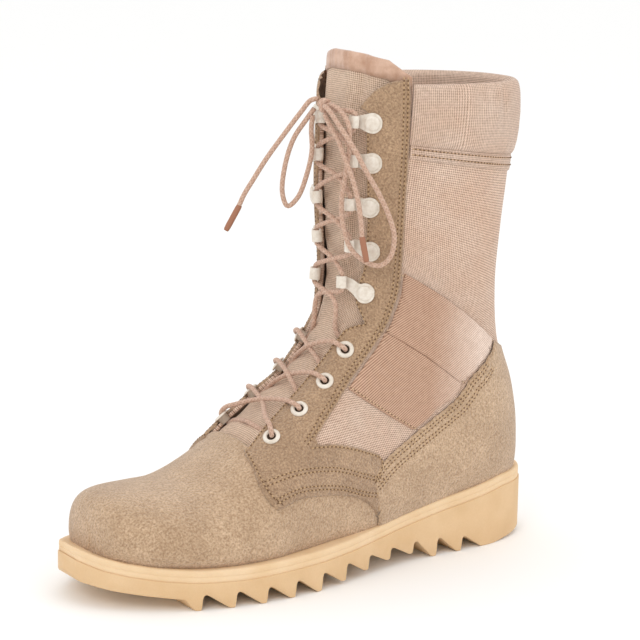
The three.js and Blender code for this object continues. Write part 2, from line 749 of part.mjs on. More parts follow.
function makeBackstay() {
  const half = BACKSTAY_WIDTH / 2;
  const rows = BACKSTAY_SECTIONS.map((section) => ({ section, outer: half, inner: half }));
  const band = ribbonSolid(rows, BACKSTAY_BEYOND, BACKSTAY_SHARE, 0);
  return shellOf(FACING_LOW, WEB_TOP).intersect(band);
}

function makeCuff() {
  const offsetOf = ({ base, proud }) => (base === 'outside'
    ? GAP + proud * CUFF_BULGE
    : -(WALL + GAP) - proud * CUFF_LINING);
  const start = aroundOf(CUFF_END_SECTION, CUFF_FROM_ACROSS);
  const turns = [start];
  for (let j = 1; j < COLUMNS; j += 1) {
    const clear = Math.min(column(j) - start, 2 - start - column(j));
    if (clear > NORMAL_STEP) turns.push(column(j));
  }
  turns.push(2 - start);
  const rings = turns.map((around) => CUFF_SECTION.map((row) =>
    surfacePoint(row.section, around, offsetOf(row))));
  const count = CUFF_SECTION.length;
  const triangles = wallTriangles(rings.length, count);
  const flat = CUFF_SECTION.map((row) =>
    new THREE.Vector2(offsetOf(row), sectionAt(row.section).pz));
  const last = (rings.length - 1) * count;
  for (const [a, b, c] of THREE.ShapeUtils.triangulateShape(flat, [])) {
    triangles.push([a, b, c], [last + a, last + c, last + b]);
  }
  return closed(rings.flat(), triangles, triangles.length - 2 * (count - 2));
}

// Turns the caps to agree with the walls, then the whole outward
function closed(points, triangles, capStart) {
  const edges = new Set(triangles.slice(0, capStart).flatMap(([a, b, c]) =>
    [`${a},${b}`, `${b},${c}`, `${c},${a}`]));
  const clash = triangles.slice(capStart).some(([a, b, c]) =>
    edges.has(`${a},${b}`) || edges.has(`${b},${c}`) || edges.has(`${c},${a}`));
  const caps = triangles.slice(capStart).map(([a, b, c]) => (clash ? [a, c, b] : [a, b, c]));
  return outward(points, [...triangles.slice(0, capStart), ...caps]);
}

// A curved plate between two offsets of the last. Each place of its grid is a function
// of the offset.
function plate(rows, outside, inside) {
  const count = rows[0].length;
  const skin = (offset) => rows.flatMap((row) => row.map((spotAt) => spotAt(offset)));
  const points = [...skin(outside), ...skin(inside)];
  const back = rows.length * count;
  const triangles = [];
  const quad = (a, b, c, d) => triangles.push([a, b, c], [a, c, d]);
  for (let i = 0; i + 1 < rows.length; i += 1) {
    for (let j = 0; j + 1 < count; j += 1) {
      const a = i * count + j;
      quad(a, a + 1, a + count + 1, a + count);
      quad(back + a, back + a + count, back + a + count + 1, back + a + 1);
    }
    const left = i * count;
    const right = left + count - 1;
    quad(left, left + count, back + left + count, back + left);
    quad(right + count, right, back + right, back + right + count);
  }
  for (let j = 0; j + 1 < count; j += 1) {
    const far = (rows.length - 1) * count + j;
    quad(j + 1, j, back + j, back + j + 1);
    quad(far, far + 1, back + far + 1, back + far);
  }
  return outward(points, triangles);
}

const TONGUE_COLUMNS = [-1, -.6, -.2, .1, .4, .7, 1];
const TONGUE_START = 7.5;
const topSectionSpan = level(SHAFT.at(-1).frontUp) - COLLAR_HEIGHT;

// Section that the tongue's top edge reaches
function tongueEdge(side) {
  const rise = TONGUE_RISE * readTable(TONGUE_TOP, 'side', 'rise', side);
  return LAST_SECTION - 1 + rise / topSectionSpan;
}

const onLast = (place, around) => (offset) => surfacePoint(place, around, offset);

function tongueRow(place) {
  const reach = readTable(TONGUE_SPAN, 'section', 'side', place);
  return TONGUE_COLUMNS.map((side) => onLast(place, side * reach));
}

function makeTongue() {
  const rows = [tongueRow(TONGUE_START)];
  for (let i = Math.ceil(TONGUE_START); i < LAST_SECTION - 1; i += 1) rows.push(tongueRow(i));
  rows.push(topRow(0, 0));
  return plate(rows, TONGUE_OUTSIDE, TONGUE_OUTSIDE - TONGUE_THICKNESS);
}

// A row of the tongue's last strip, a set distance above its top edge, with its two
// end places carried on by the same line
function topRow(above, beyond) {
  const start = LAST_SECTION - 2;
  const reach = readTable(TONGUE_SPAN, 'section', 'side', start);
  const row = TONGUE_COLUMNS.map((side) => (offset) => {
    const low = surfacePoint(start, side * reach, offset);
    const high = surfacePoint(tongueEdge(side), side * reach, offset);
    return low.lerp(high, 1 + above / low.distanceTo(high));
  });
  const carriedOn = (end, next) => (offset) => {
    const from = next(offset);
    const to = end(offset);
    return from.lerp(to, 1 + beyond / from.distanceTo(to));
  };
  return [carriedOn(row[0], row[1]), ...row.slice(1, -1),
    carriedOn(row.at(-1), row.at(-2))];
}

// The binding folds over the tongue's top edge
function makeBinding() {
  const lip = GAP + BINDING_THICKNESS;
  const outer = plate([topRow(-BINDING_DEPTH, GAP), topRow(lip, GAP)],
    BINDING_OUTSIDE, TONGUE_OUTSIDE - TONGUE_THICKNESS - lip);
  const slot = plate([topRow(-BINDING_SLOT_DEPTH, lip), topRow(GAP, lip)],
    TONGUE_OUTSIDE + GAP, TONGUE_OUTSIDE - TONGUE_THICKNESS - GAP);
  return outer.subtract(slot);
}

function makeInsole() {
  return lastForm(-(WALL + INSOLE_GAP))
    .subtract(soleBlock)
    .intersect(underSole(GAP + INSOLE_THICKNESS));
}

// Hardware
function makeEyelet(place, around) {
  const low = BARREL_SHORT - (SUEDE + GAP + WALL);
  const ring = lathe([
    [EYELET_BORE, low], [BARREL_RADIUS, low], [BARREL_RADIUS, RIM_GAP],
    [EYELET_RADIUS, RIM_GAP], [EYELET_RADIUS * EYELET_TOP_SHARE, RIM_GAP + EYELET_RIM],
    [EYELET_BORE, RIM_GAP], [EYELET_BORE, low],
  ]);
  return standOn(ring, place, around, FACING_TOP);
}

function frame(origin, xAxis, zAxis) {
  const z = zAxis.clone().normalize();
  const x = xAxis.clone().addScaledVector(z, -xAxis.dot(z)).normalize();
  const y = z.clone().cross(x);
  return new THREE.Matrix4().makeBasis(x, y, z).setPosition(origin);
}

function hookTubeCentre({ section }, around) {
  return surfacePoint(section, around, HOOK_LIFT);
}

function tubeAxis(section, around) {
  const step = 0.1;
  return surfacePoint(section + step, around, HOOK_LIFT)
    .sub(surfacePoint(section - step, around, HOOK_LIFT)).normalize();
}

function makeHook(row, rivetAround, tubeAround) {
  const rivet = standOn(lathe([
    [0, SEAT_GAP], [RIVET_RADIUS, SEAT_GAP],
    [RIVET_RADIUS * RIVET_TOP_SHARE, SEAT_GAP + RIVET_HEIGHT],
    [0, SEAT_GAP + RIVET_HEIGHT],
  ]), row.section, rivetAround, FACING_TOP);
  const centre = hookTubeCentre(row, tubeAround);
  const axis = tubeAxis(row.section, tubeAround);
  const plateOffset = FACING_TOP + SEAT_GAP + HOOK_PLATE_RISE;
  const root = surfacePoint(row.section, rivetAround, plateOffset);
  const along = centre.clone().sub(root);
  const armLength = along.length() - HOOK_TUBE_BORE;
  const half = HOOK_TUBE_LENGTH / 2;
  const tube = lathe([
    [HOOK_TUBE_BORE, -half], [HOOK_TUBE_RADIUS, -half], [HOOK_TUBE_RADIUS, half],
    [HOOK_TUBE_BORE, half], [HOOK_TUBE_BORE, -half],
  ]).transform(frame(centre, along, axis).elements);
  const arm = new THREE.BoxGeometry(armLength, HOOK_PLATE_WIDTH, HOOK_PLATE);
  const normal = lastNormal(row.section, (rivetAround + tubeAround) / 2);
  const middle = root.clone().addScaledVector(along.clone().normalize(), armLength / 2);
  arm.applyMatrix4(frame(middle, along, normal));
  return rivet.add(toSolid(arm)).add(tube);
}

// Lace
function cord(points, diameter, sides, stepsPerPoint) {
  const path = new THREE.CatmullRomCurve3(points.map((p) => new THREE.Vector3(...p)),
    false, 'centripetal');
  const section = new THREE.Shape();
  for (let i = 0; i < sides; i += 1) {
    const angle = (2 * Math.PI * i) / sides;
    const x = (Math.cos(angle) * diameter) / 2;
    const y = (Math.sin(angle) * diameter) / 2;
    if (i === 0) section.moveTo(x, y);
    else section.lineTo(x, y);
  }
  section.closePath();
  return toSolid(new THREE.ExtrudeGeometry(section, {
    extrudePath: path,
    steps: stepsPerPoint,
    bevelEnabled: false,
  }));
}

const spot = (section, around, offset) => surfacePoint(section, around, offset).toArray();
const LACE_RADIUS = LACE_DIAMETER / 2;
const OVER_TONGUE = TONGUE_OUTSIDE + GAP + LACE_RADIUS;
const OVER_FACING = FACING_TOP + GAP + LACE_RADIUS;
const BAR_SIDES = 6;
const BAR_STEPS = 3;
const TUBE_CLEARANCE = 1.5;
const RIM_CLEARANCE = 0.6;
const KNOT_SCALE = [.8, 1, .9];

// Where a bar dips under the facing past an eyelet, and where it climbs over the edge
// to the next: along the sections, and as a share of the eyelet's place around.
const BAR_DIP = { beyond: .35, share: .32, lift: .4 };
const BAR_EDGE = { before: .1, share: .6, lift: 2 };
const BAR_RISE = { overTongue: 2, overHooks: .8 };

// Anchor of the lace on one side: an eyelet's rim or a hook's tube
function anchor(index, side) {
  if (index < EYELETS.length) {
    const { section, around } = EYELETS[index];
    return { kind: 'eyelet', section, around: side * around };
  }
  const row = HOOKS[index - EYELETS.length];
  const around = side > 0 ? row.outerTube : -row.innerTube;
  return { kind: 'hook', section: row.section, around, row };
}

function leaveBar(index, side) {
  const from = anchor(index, side);
  if (from.kind === 'eyelet') {
    return [spot(from.section + BAR_DIP.beyond, from.around * BAR_DIP.share,
      OVER_TONGUE + BAR_DIP.lift)];
  }
  const centre = surfacePoint(from.section, from.around, HOOK_LIFT);
  const axis = tubeAxis(from.section, from.around);
  const start = centre.clone().addScaledVector(axis, HOOK_TUBE_LENGTH / 2 + TUBE_CLEARANCE);
  return [start.toArray()];
}

function reachBar(index, side) {
  const to = anchor(index, side);
  if (to.kind === 'eyelet') {
    const edge = spot(to.section - BAR_EDGE.before, to.around * BAR_EDGE.share,
      OVER_FACING + BAR_EDGE.lift);
    const rim = surfacePoint(to.section, to.around, OVER_FACING + BAR_DIP.lift);
    const back = new THREE.Vector3(...edge).sub(rim).normalize();
    return [edge, rim.addScaledVector(back, EYELET_RADIUS + RIM_CLEARANCE).toArray()];
  }
  const centre = surfacePoint(to.section, to.around, HOOK_LIFT);
  const axis = tubeAxis(to.section, to.around);
  return [centre.addScaledVector(axis, -(HOOK_TUBE_LENGTH / 2 + TUBE_CLEARANCE)).toArray()];
}

function makeCrossing(index) {
  const bars = [1, -1].map((side) => {
    const start = leaveBar(index, side);
    const end = reachBar(index + 1, -side);
    const a = new THREE.Vector3(...start.at(-1));
    const b = new THREE.Vector3(...end[0]);
    const middle = a.lerp(b, .5);
    const lift = index + 1 < EYELETS.length ? BAR_RISE.overTongue : BAR_RISE.overHooks;
    middle.addScaledVector(lastNormal(anchor(index, 1).section + .5, 0), lift);
    return cord([...start, middle.toArray(), ...end], LACE_DIAMETER, BAR_SIDES, BAR_STEPS);
  });
  return bars[0].add(bars[1]);
}

function makeKnot() {
  const ball = new THREE.SphereGeometry(KNOT_RADIUS, 8, 6);
  ball.scale(...KNOT_SCALE);
  ball.translate(...BOW.knot);
  const top = EYELETS.length + HOOKS.length - 1;
  return [1, -1].reduce((solid, side) => {
    const start = leaveBar(top, side);
    return solid.add(cord([...start, BOW.knot], LACE_DIAMETER, BAR_SIDES, BAR_STEPS));
  }, toSolid(ball));
}

const LOOSE_SIDES = 8;
const LOOSE_STEP = 3 * LACE_DIAMETER;

function makeLoose(points, diameter) {
  const path = new THREE.CatmullRomCurve3(points.map((p) => new THREE.Vector3(...p)),
    false, 'centripetal');
  const steps = Math.max(2, Math.round(path.getLength() / LOOSE_STEP));
  return cord(points, diameter, LOOSE_SIDES, steps);
}

// Assembly, with the origin under the middle of the sole
const boot = new THREE.Group();
boot.name = 'combat_boot';
const widestOuter = Math.max(...SOLE_STATIONS.map(outerHalf));
const widestInner = Math.max(...SOLE_STATIONS.map(innerHalf));
boot.position.set(-SOLE_LENGTH / 2, -(widestOuter - widestInner) / 2, 0);

function place(name, solid, finish) {
  const mesh = new THREE.Mesh(toGeometry(solid), new THREE.MeshStandardMaterial({
    metalness: 0,
    ...finish,
  }));
  mesh.name = name;
  boot.add(mesh);
}

place('outsole', makeOutsole(), CREPE_FINISH);
place('midsole', makeMidsole(), CREPE_LIGHT_FINISH);
place('insole', makeInsole(), NYLON_FINISH);
place('upper', makeUpper(), NYLON_FINISH);
place('tongue', makeTongue(), NYLON_FINISH);
place('tongue_binding', makeBinding(), BINDING_FINISH);
place('heel_counter', makeCounter(), SUEDE_FINISH);
place('backstay', makeBackstay(), WEBBING_FINISH);
place('collar_cuff', makeCuff(), NYLON_FINISH);
for (const [name, side] of [['lateral', 1], ['medial', -1]]) {
  place(`facing_${name}`, makeFacing(side), SUEDE_FINISH);
  place(`ankle_webbing_${name}`, makeWebbing(side), WEBBING_FINISH);
  EYELETS.forEach(({ section, around }, i) => {
    place(`eyelet_${name}_${i + 1}`, makeEyelet(section, side * around), PAINTED_FINISH);
  });
  HOOKS.forEach((row, i) => {
    const [rivet, tube] = side > 0
      ? [row.outerRivet, row.outerTube]
      : [-row.innerRivet, -row.innerTube];
    place(`hook_${name}_${i + 1}`, makeHook(row, rivet, tube), PAINTED_FINISH);
  });
}
for (let i = 0; i + 1 < EYELETS.length + HOOKS.length; i += 1) {
  place(`lace_crossing_${i + 1}`, makeCrossing(i), LACE_FINISH);
}
place('lace_knot', makeKnot(), LACE_FINISH);
for (const name of ['lace_loop_left', 'lace_end_left', 'lace_loop_right', 'lace_end_right']) {
  place(name, makeLoose(BOW[name], LACE_DIAMETER), LACE_FINISH);
}
for (const [name, points] of Object.entries(AGLETS)) {
  place(name, makeLoose(points, AGLET_DIAMETER), AGLET_FINISH);
}

export default boot;
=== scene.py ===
"""A left lace-up combat boot, dressed over its CAD parts and photographed in a studio.

Shapes are worked out in millimetres on the last, whose sections match the part's, and
are turned into metres in the part's own frame as their meshes are made.
"""
from math import cos, pi, radians, sin

import bmesh
import bpy
import numpy as np
from mathutils import Matrix, Vector, geometry
from mathutils.kdtree import KDTree


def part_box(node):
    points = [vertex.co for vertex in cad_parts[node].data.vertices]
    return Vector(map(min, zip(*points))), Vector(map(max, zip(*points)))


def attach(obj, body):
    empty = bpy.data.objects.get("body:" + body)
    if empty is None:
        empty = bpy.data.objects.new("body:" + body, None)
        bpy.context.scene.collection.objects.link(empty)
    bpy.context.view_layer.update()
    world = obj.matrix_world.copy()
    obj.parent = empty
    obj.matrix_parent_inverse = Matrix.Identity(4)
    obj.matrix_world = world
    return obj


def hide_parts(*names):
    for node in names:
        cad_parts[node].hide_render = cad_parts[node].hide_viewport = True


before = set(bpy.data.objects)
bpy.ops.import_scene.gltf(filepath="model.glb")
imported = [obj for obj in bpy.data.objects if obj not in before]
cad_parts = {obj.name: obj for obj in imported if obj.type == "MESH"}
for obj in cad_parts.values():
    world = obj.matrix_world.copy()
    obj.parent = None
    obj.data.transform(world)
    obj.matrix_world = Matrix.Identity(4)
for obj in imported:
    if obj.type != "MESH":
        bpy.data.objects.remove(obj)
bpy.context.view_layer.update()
MM = 0.001

# Driving sizes of the boot, in millimetres
SOLE_LENGTH = 305.0
BALL_WIDTH = 100.5
SHAFT_WIDTH = 90.0
SHAFT_DEPTH = 118.0
INSTEP_HEIGHT = 141.3
COLLAR_HEIGHT = 277.0
SOLE_HEEL_HEIGHT = 41.5
SOLE_BALL_HEIGHT = 21.7
MIDSOLE_THICKNESS = 7.0
WALL = 2.4
SUEDE = 1.5
WEBBING = 1.0
LACE_DIAMETER = 3.2

# Camera, in millimetres from the heel's back edge on the floor
CAMERA_SPOT = (839.6, 1032.1, 398.7)
CAMERA_YAW = -124.03
CAMERA_PITCH = -11.67
CAMERA_ROLL = 0.924
CAMERA_LENS = 124.73


def table(columns, rows):
    """The columns of a table of rows, by name."""
    return dict(zip(columns.split(), np.array(rows, float).T))


# Free stretches of the lace, as points along each, in millimetres
BOW = {
    "lace_loop_left": [
        (146, -4.1, 262.8), (149.6, -6.8, 256.4), (155.5, -10.5, 245.5), (159.5, -13, 230),
        (160.5, -13.7, 214), (158, -12, 207), (153.2, -9, 212), (149, -6, 226),
        (147, -4.5, 239), (147.6, -4.5, 251), (147.4, -3.8, 259),
    ],
    "lace_end_left": [
        (144.4, -2.3, 268.6), (148, -5.2, 267.2), (152, -8.2, 261), (160, -13.4, 248),
        (168.5, -19, 233.5), (174.2, -23, 222), (178.4, -25.8, 213.5), (181, -27.5, 206.5),
    ],
    "lace_loop_right": [
        (144, 9.6, 266), (143.5, 17, 264), (142.8, 25, 257), (142, 25.6, 247),
        (142.8, 23.9, 230), (144.5, 22, 212), (143.5, 23.5, 198), (141.5, 27.5, 187.5),
        (136, 33, 180.5), (128.5, 38, 178), (124, 41.5, 183), (122.5, 43, 194),
        (125.5, 42.5, 205), (131, 40, 218), (137.5, 35, 232), (142.5, 31.5, 243),
        (146.5, 24, 254), (147.8, 14, 263), (147.5, 8, 265.5),
    ],
    "lace_end_right": [
        (147, 8, 260.6), (147.5, 13, 256), (147, 21, 248), (146, 27, 238),
        (144, 32, 227), (142.5, 35.5, 215), (141, 36.8, 203), (140.2, 37, 194.5),
    ],
}
AGLETS = {
    "aglet_left": ((181.25, -27.7, 205.6), (187, -31.5, 192.4)),
    "aglet_right": ((140.1, 37.05, 193.6), (138, 38.5, 181)),
}
KNOT = (143.5, 3, 265)

# The last. Its sections run from the toe to the instep bend, then from the heel up the
# shaft. Each is a slanted plane from a ridge point down to a low point, in shares of the
# driving sizes.
FOOT = table(
    "ridge_along ridge_up low_along low_up centre outer inner widest ridge_power low_power",
    [
        (.963, .335, .965, .185, -.080, .120, .085, .55, 2.3, 2.2),
        (.956, .374, .960, .160, -.080, .208, .160, .56, 2.3, 2.2),
        (.940, .405, .949, .140, -.070, .290, .238, .57, 2.3, 2.2),
        (.915, .419, .925, .125, -.060, .357, .316, .59, 2.3, 2.3),
        (.881, .423, .888, .112, -.050, .430, .398, .61, 2.2, 2.4),
        (.836, .427, .843, .105, -.040, .482, .440, .63, 2.1, 2.4),
        (.787, .437, .787, .100, -.030, .522, .468, .66, 2.0, 2.5),
        (.738, .483, .728, .095, -.020, .532, .468, .69, 2.0, 2.7),
        (.682, .552, .666, .090, -.010, .527, .455, .71, 2.2, 2.9),
        (.625, .646, .593, .090, -.010, .493, .425, .73, 2.5, 3.0),
        (.566, .733, .511, .090, -.010, .458, .402, .74, 2.8, 2.8),
        (.518, .822, .423, .078, .000, .423, .378, .74, 2.9, 2.7),
        (.485, .913, .321, .092, .000, .388, .363, .68, 2.9, 2.5),
        (.463, 1.00, .203, .113, .000, .373, .358, .62, 2.8, 2.3),
    ],
)
SHAFT = table(
    "back back_up depth front_up outer inner widest ridge_power low_power",
    [
        (.092, .142, .932, 1.079, .411, .400, .58, 2.7, 2.3),
        (.030, .241, 1.081, 1.145, .411, .406, .55, 2.6, 2.25),
        (.025, .439, 1.089, 1.204, .417, .411, .54, 2.5, 2.3),
        (.039, .637, 1.051, 1.263, .422, .422, .53, 2.4, 2.2),
        (.075, .849, .958, 1.330, .433, .433, .52, 2.4, 2.2),
        (.087, 1.101, .932, 1.433, .456, .456, .51, 2.4, 2.2),
        (.079, 1.359, .958, 1.580, .472, .472, .50, 2.4, 2.2),
        (.066, 1.639, .987, 1.765, .489, .489, .50, 2.4, 2.2),
        (.057, 1.993, .996, 2.007, .500, .500, .50, 2.4, 2.2),
        (.052, 2.258, .992, 2.258, .500, .500, .50, 2.4, 2.2),
    ],
)
SOLE_PLAN = table(
    "along outer inner",
    [
        (.000, .022, .022), (.007, .104, .104), (.026, .194, .194), (.062, .272, .272),
        (.125, .334, .331), (.197, .351, .346), (.262, .355, .349), (.331, .378, .354),
        (.393, .412, .362), (.456, .463, .378), (.515, .507, .403), (.577, .542, .433),
        (.639, .557, .465), (.698, .557, .502), (.757, .532, .525), (.820, .483, .513),
        (.885, .388, .468), (.951, .239, .333), (.990, .070, .185), (1.00, -.060, .100),
    ],
)
SOLE_RISE = table(
    "along rise",
    [
        (0, 1), (.10, .975), (.184, .76), (.292, .515), (.403, .283), (.498, .146),
        (.567, .086), (.659, .035), (.741, 0), (.823, .035), (.882, .121), (.928, .227),
        (.967, .364), (.992, .525), (1, .62),
    ],
)


def height_at(up):
    """Height of 0 at the floor, 1 at the instep bend and 2 at the collar."""
    return np.interp(up, (0, 1, 3), (0, INSTEP_HEIGHT, 2 * COLLAR_HEIGHT - INSTEP_HEIGHT))


def last_columns():
    """The columns of the last's sections in millimetres, foot first and then shaft."""
    foot, shaft = FOOT, SHAFT
    back = shaft["back"] * SOLE_LENGTH
    parts = {
        "px": (foot["ridge_along"] * SOLE_LENGTH, back + shaft["depth"] * SHAFT_DEPTH),
        "pz": (height_at(foot["ridge_up"]), height_at(shaft["front_up"])),
        "qx": (foot["low_along"] * SOLE_LENGTH, back),
        "qz": (height_at(foot["low_up"]), height_at(shaft["back_up"])),
        "centre": (foot["centre"] * BALL_WIDTH, 0 * back),
        "outer": (foot["outer"] * BALL_WIDTH, shaft["outer"] * SHAFT_WIDTH),
        "inner": (foot["inner"] * BALL_WIDTH, shaft["inner"] * SHAFT_WIDTH),
    }
    for name in ("widest", "ridge_power", "low_power"):
        parts[name] = (foot[name], shaft[name])
    return {name: np.concatenate(both) for name, both in parts.items()}


LAST = last_columns()
LAST_SECTION = len(LAST["px"]) - 1


def smooth(values, place):
    """A smooth curve through evenly numbered values."""
    bounded = np.clip(place, 0, len(values) - 1 - 1e-6)
    i = bounded.astype(int)
    t = bounded - i
    ends = 2 * values[0] - values[1], 2 * values[-1] - values[-2]
    padded = np.concatenate(([ends[0]], values, [ends[1]]))
    a, b, c, d = (padded[i + k] for k in range(4))
    return (2 * b + (c - a) * t + (2 * a - 5 * b + 4 * c - d) * t**2
            + (3 * b - a - 3 * c + d) * t**3) / 2


def section_at(place):
    place = np.asarray(place, float)
    return {name: smooth(values, place) for name, values in LAST.items()}


def last_point(place, around):
    """A point on the last. Around is 0 at the ridge, 1 at the low point and 2 back at
    the ridge, by the outer side and home by the inner."""
    s = section_at(place)
    cosine = np.cos(np.asarray(around) * pi)
    sine = np.sin(np.asarray(around) * pi)
    ridge_side = cosine >= 0
    power = np.where(ridge_side, s["ridge_power"], s["low_power"])
    reach = np.where(ridge_side, s["widest"], 1 - s["widest"])
    half = np.where(sine >= 0, s["outer"], s["inner"])
    across = s["widest"] - reach * np.sign(cosine) * np.abs(cosine) ** (2 / power)
    return np.stack((
        s["px"] + (s["qx"] - s["px"]) * across,
        s["centre"] + half * np.sign(sine) * np.abs(sine) ** (2 / power),
        s["pz"] + (s["qz"] - s["pz"]) * across,
    ), axis=-1)


NORMAL_STEP = 0.02


def last_normal(place, around):
    place = np.asarray(place, float)
    along = (last_point(np.minimum(place + NORMAL_STEP, LAST_SECTION), around)
             - last_point(np.maximum(place - NORMAL_STEP, 0), around))
    round_it = last_point(place, around + NORMAL_STEP) - last_point(place, around - NORMAL_STEP)
    normal = np.cross(round_it, along)
    return normal / np.linalg.norm(normal, axis=-1, keepdims=True)


def surface(place, around, offset=0.0):
    """A point over the last's surface, by its place along and around the boot."""
    place, around = np.broadcast_arrays(np.asarray(place, float), np.asarray(around, float))
    lift = np.broadcast_to(np.asarray(offset, float), place.shape)[..., None]
    return last_point(place, around) + last_normal(place, around) * lift


def around_of(place, across, side=1):
    """Where a share across a section meets the last, seen from the side."""
    s = section_at(place)
    across = np.maximum(np.asarray(across, float), 0)
    ridge_side = across < s["widest"]
    reach = np.where(ridge_side, s["widest"], 1 - s["widest"])
    power = np.where(ridge_side, s["ridge_power"], s["low_power"])
    share = np.minimum(np.abs(s["widest"] - across) / reach, 1)
    turn = np.arccos(np.where(ridge_side, 1, -1) * share ** (power / 2)) / pi
    return turn if side > 0 else 2 - turn


def side_view(line):
    """Points seen from the side, in millimetres, of a line of (section, across)."""
    s = section_at(line[:, 0])
    return np.stack((s["px"] + (s["qx"] - s["px"]) * line[:, 1],
                     s["pz"] + (s["qz"] - s["pz"]) * line[:, 1]), axis=1)


def sole_top(along):
    rise = np.interp(along, SOLE_RISE["along"], SOLE_RISE["rise"])
    return SOLE_BALL_HEIGHT + (SOLE_HEEL_HEIGHT - SOLE_BALL_HEIGHT) * rise


def sole_half(along, edge):
    """Half width of the sole's plan at shares of its length, on one edge."""
    dense = np.linspace(0, len(SOLE_PLAN["along"]) - 1, 400)
    return np.interp(along, smooth(SOLE_PLAN["along"], dense),
                     smooth(SOLE_PLAN[edge], dense)) * BALL_WIDTH


# The part's frame has its origin under the middle of the sole
sole_low, sole_high = (np.array(corner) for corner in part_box("outsole"))
SHIFT = np.array((
    sole_low[0],
    sole_high[1] - sole_half(np.linspace(0, 1, 400), "outer").max() * MM,
    0.0,
))


def metres(points):
    return np.asarray(points, float) * MM + SHIFT


def spline(points, count):
    """Even points along a smooth curve through a few chosen ones."""
    chosen = np.array(points, float)
    spans = np.sqrt(np.linalg.norm(np.diff(chosen, axis=0), axis=1))
    knots = np.concatenate(([0], np.cumsum(spans)))
    slopes = np.gradient(chosen, knots, axis=0)
    t = np.linspace(0, knots[-1], 40 * len(chosen))
    i = np.clip(np.searchsorted(knots, t, side="right") - 1, 0, len(spans) - 1)
    span = (knots[i + 1] - knots[i])[:, None]
    s = ((t - knots[i]) / (knots[i + 1] - knots[i]))[:, None]
    dense = ((2 * s**3 - 3 * s**2 + 1) * chosen[i] + (s**3 - 2 * s**2 + s) * span * slopes[i]
             + (3 * s**2 - 2 * s**3) * chosen[i + 1] + (s**3 - s**2) * span * slopes[i + 1])
    return evened(dense, count)


def unit(vectors, least=0.0):
    """Vectors brought to a length of 1, or shorter ones near to it."""
    return vectors / (np.linalg.norm(vectors, axis=-1, keepdims=True) + least)


def run_along(points):
    """The distance run from the start of a line to each of its points."""
    return np.concatenate(([0], np.cumsum(np.linalg.norm(np.diff(points, axis=0), axis=1))))


def evened(points, count):
    """Points at equal distances along a line."""
    points = np.asarray(points, float)
    run = run_along(points)
    stops = np.linspace(0, run[-1], count)
    return np.stack([np.interp(stops, run, column) for column in points.T], axis=1)


def length_of(points):
    return float(np.linalg.norm(np.diff(points, axis=0), axis=1).sum())


# Outlines of the overlays seen from the side: the section, and how far across it from
# the ridge at 0 to the low point at 1
FACING_REAR = [
    (21.62, .03), (21.79, .048), (21.92, .068), (22.02, .10), (22.08, .135), (22.10, .17),
    (22.13, .205), (21.1, .222),
    (19.5, .230), (18.1, .228), (16.9, .20), (15.9, .172), (14.2, .143), (12.9, .138),
    (11.6, .142), (10.6, .170), (9.75, .232), (10.66, .327), (11.36, .43), (11.93, .528),
    (11.62, .60),
]
BAND_LOW = [
    (11.18, .80), (11.2, .772), (11.1, .727), (10.9, .675), (10.66, .638), (10.14, .588),
    (9.57, .538), (9.05, .488), (8.65, .474), (8.28, .468), (8.12, .438), (8.0, .368),
    (7.9, .258), (7.95, .157), (8.05, .055),
]
COUNTER_EDGE = [
    (17.75, .82), (16.8, .67), (15.56, .541), (14.1, .487), (13.03, .507), (11.97, .538),
    (11.38, .578), (11.30, .68), (11.24, .78), (11.2, .86),
]
WEB_TOP_EDGE = [(18.07, .236), (18.02, .476), (17.9, .634), (17.75, .80)]
WEB_SEAM = [(14.64, .157), (14.93, .232), (15.22, .326), (15.39, .425), (15.51, .528)]
WEB_LOW_EDGE = [(11.66, .152), (12.3, .318), (13.0, .495)]
THROAT = table(
    "section outer inner",
    [
        (7.97, .17, .17), (8.2, .23, .26), (9, .20, .28), (10, .17, .28), (11, .16, .27),
        (12.4, .18, .25), (13.1, .20, .24), (14.1, .27, .25), (14.9, .21, .20),
        (16.3, .22, .18), (18.2, .26, .17), (19.3, .28, .17), (20.4, .28, .17),
        (21.3, .27, .17), (23, .27, .18),
    ],
)
TONGUE_TOP = table(
    "side rise", [(-1, .3), (-.6, .78), (-.2, 1), (.1, 1), (.4, .9), (.7, .76), (1, .24)])
TONGUE_RISE = 17.4
TONGUE_SPAN = .33
EYELETS = ((8.9, .162), (9.94, .152), (11.1, .150), (12.48, .162))
HOOKS = (
    (15.8, .180, .088, .150, .050), (18.3, .205, .125, .140, .040),
    (19.65, .200, .125, .130, .032), (20.68, .200, .132, .130, .030),
    (21.4, .190, .125, .125, .022),
)
EYELET_RADIUS = 5.0
EYELET_BORE = 2.5
HOOK_LIFT = 4.8
RIVET_RADIUS = 4.4
HOOK_TUBE_RADIUS = 3.2
CUFF_FROM_ACROSS = .232


def throat_around(place, side):
    """Where the throat's edge meets the last, by its half width."""
    edge = "outer" if side > 0 else "inner"
    half = np.interp(place, THROAT["section"], THROAT[edge]) * SHAFT_WIDTH
    arounds = np.linspace(0, .5, 200)
    result = []
    for p, h in zip(np.atleast_1d(place), np.atleast_1d(half)):
        across = np.abs(last_point(p, side * arounds)[:, 1])
        result.append(np.interp(h, across, arounds))
    result = np.array(result)
    return result if side > 0 else 2 - result


# Meshes
def finished(name, mesh, material):
    """A smooth object of a finished mesh, riding on the boot."""
    piece = bpy.data.objects.new(name, mesh)
    bpy.context.collection.objects.link(piece)
    mesh.materials.append(material)
    for polygon in mesh.polygons:
        polygon.use_smooth = True
    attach(piece, "root")
    return piece


def mesh_from(name, bm):
    bmesh.ops.recalc_face_normals(bm, faces=bm.faces)
    mesh = bpy.data.meshes.new(name)
    bm.to_mesh(mesh)
    bm.free()
    return mesh


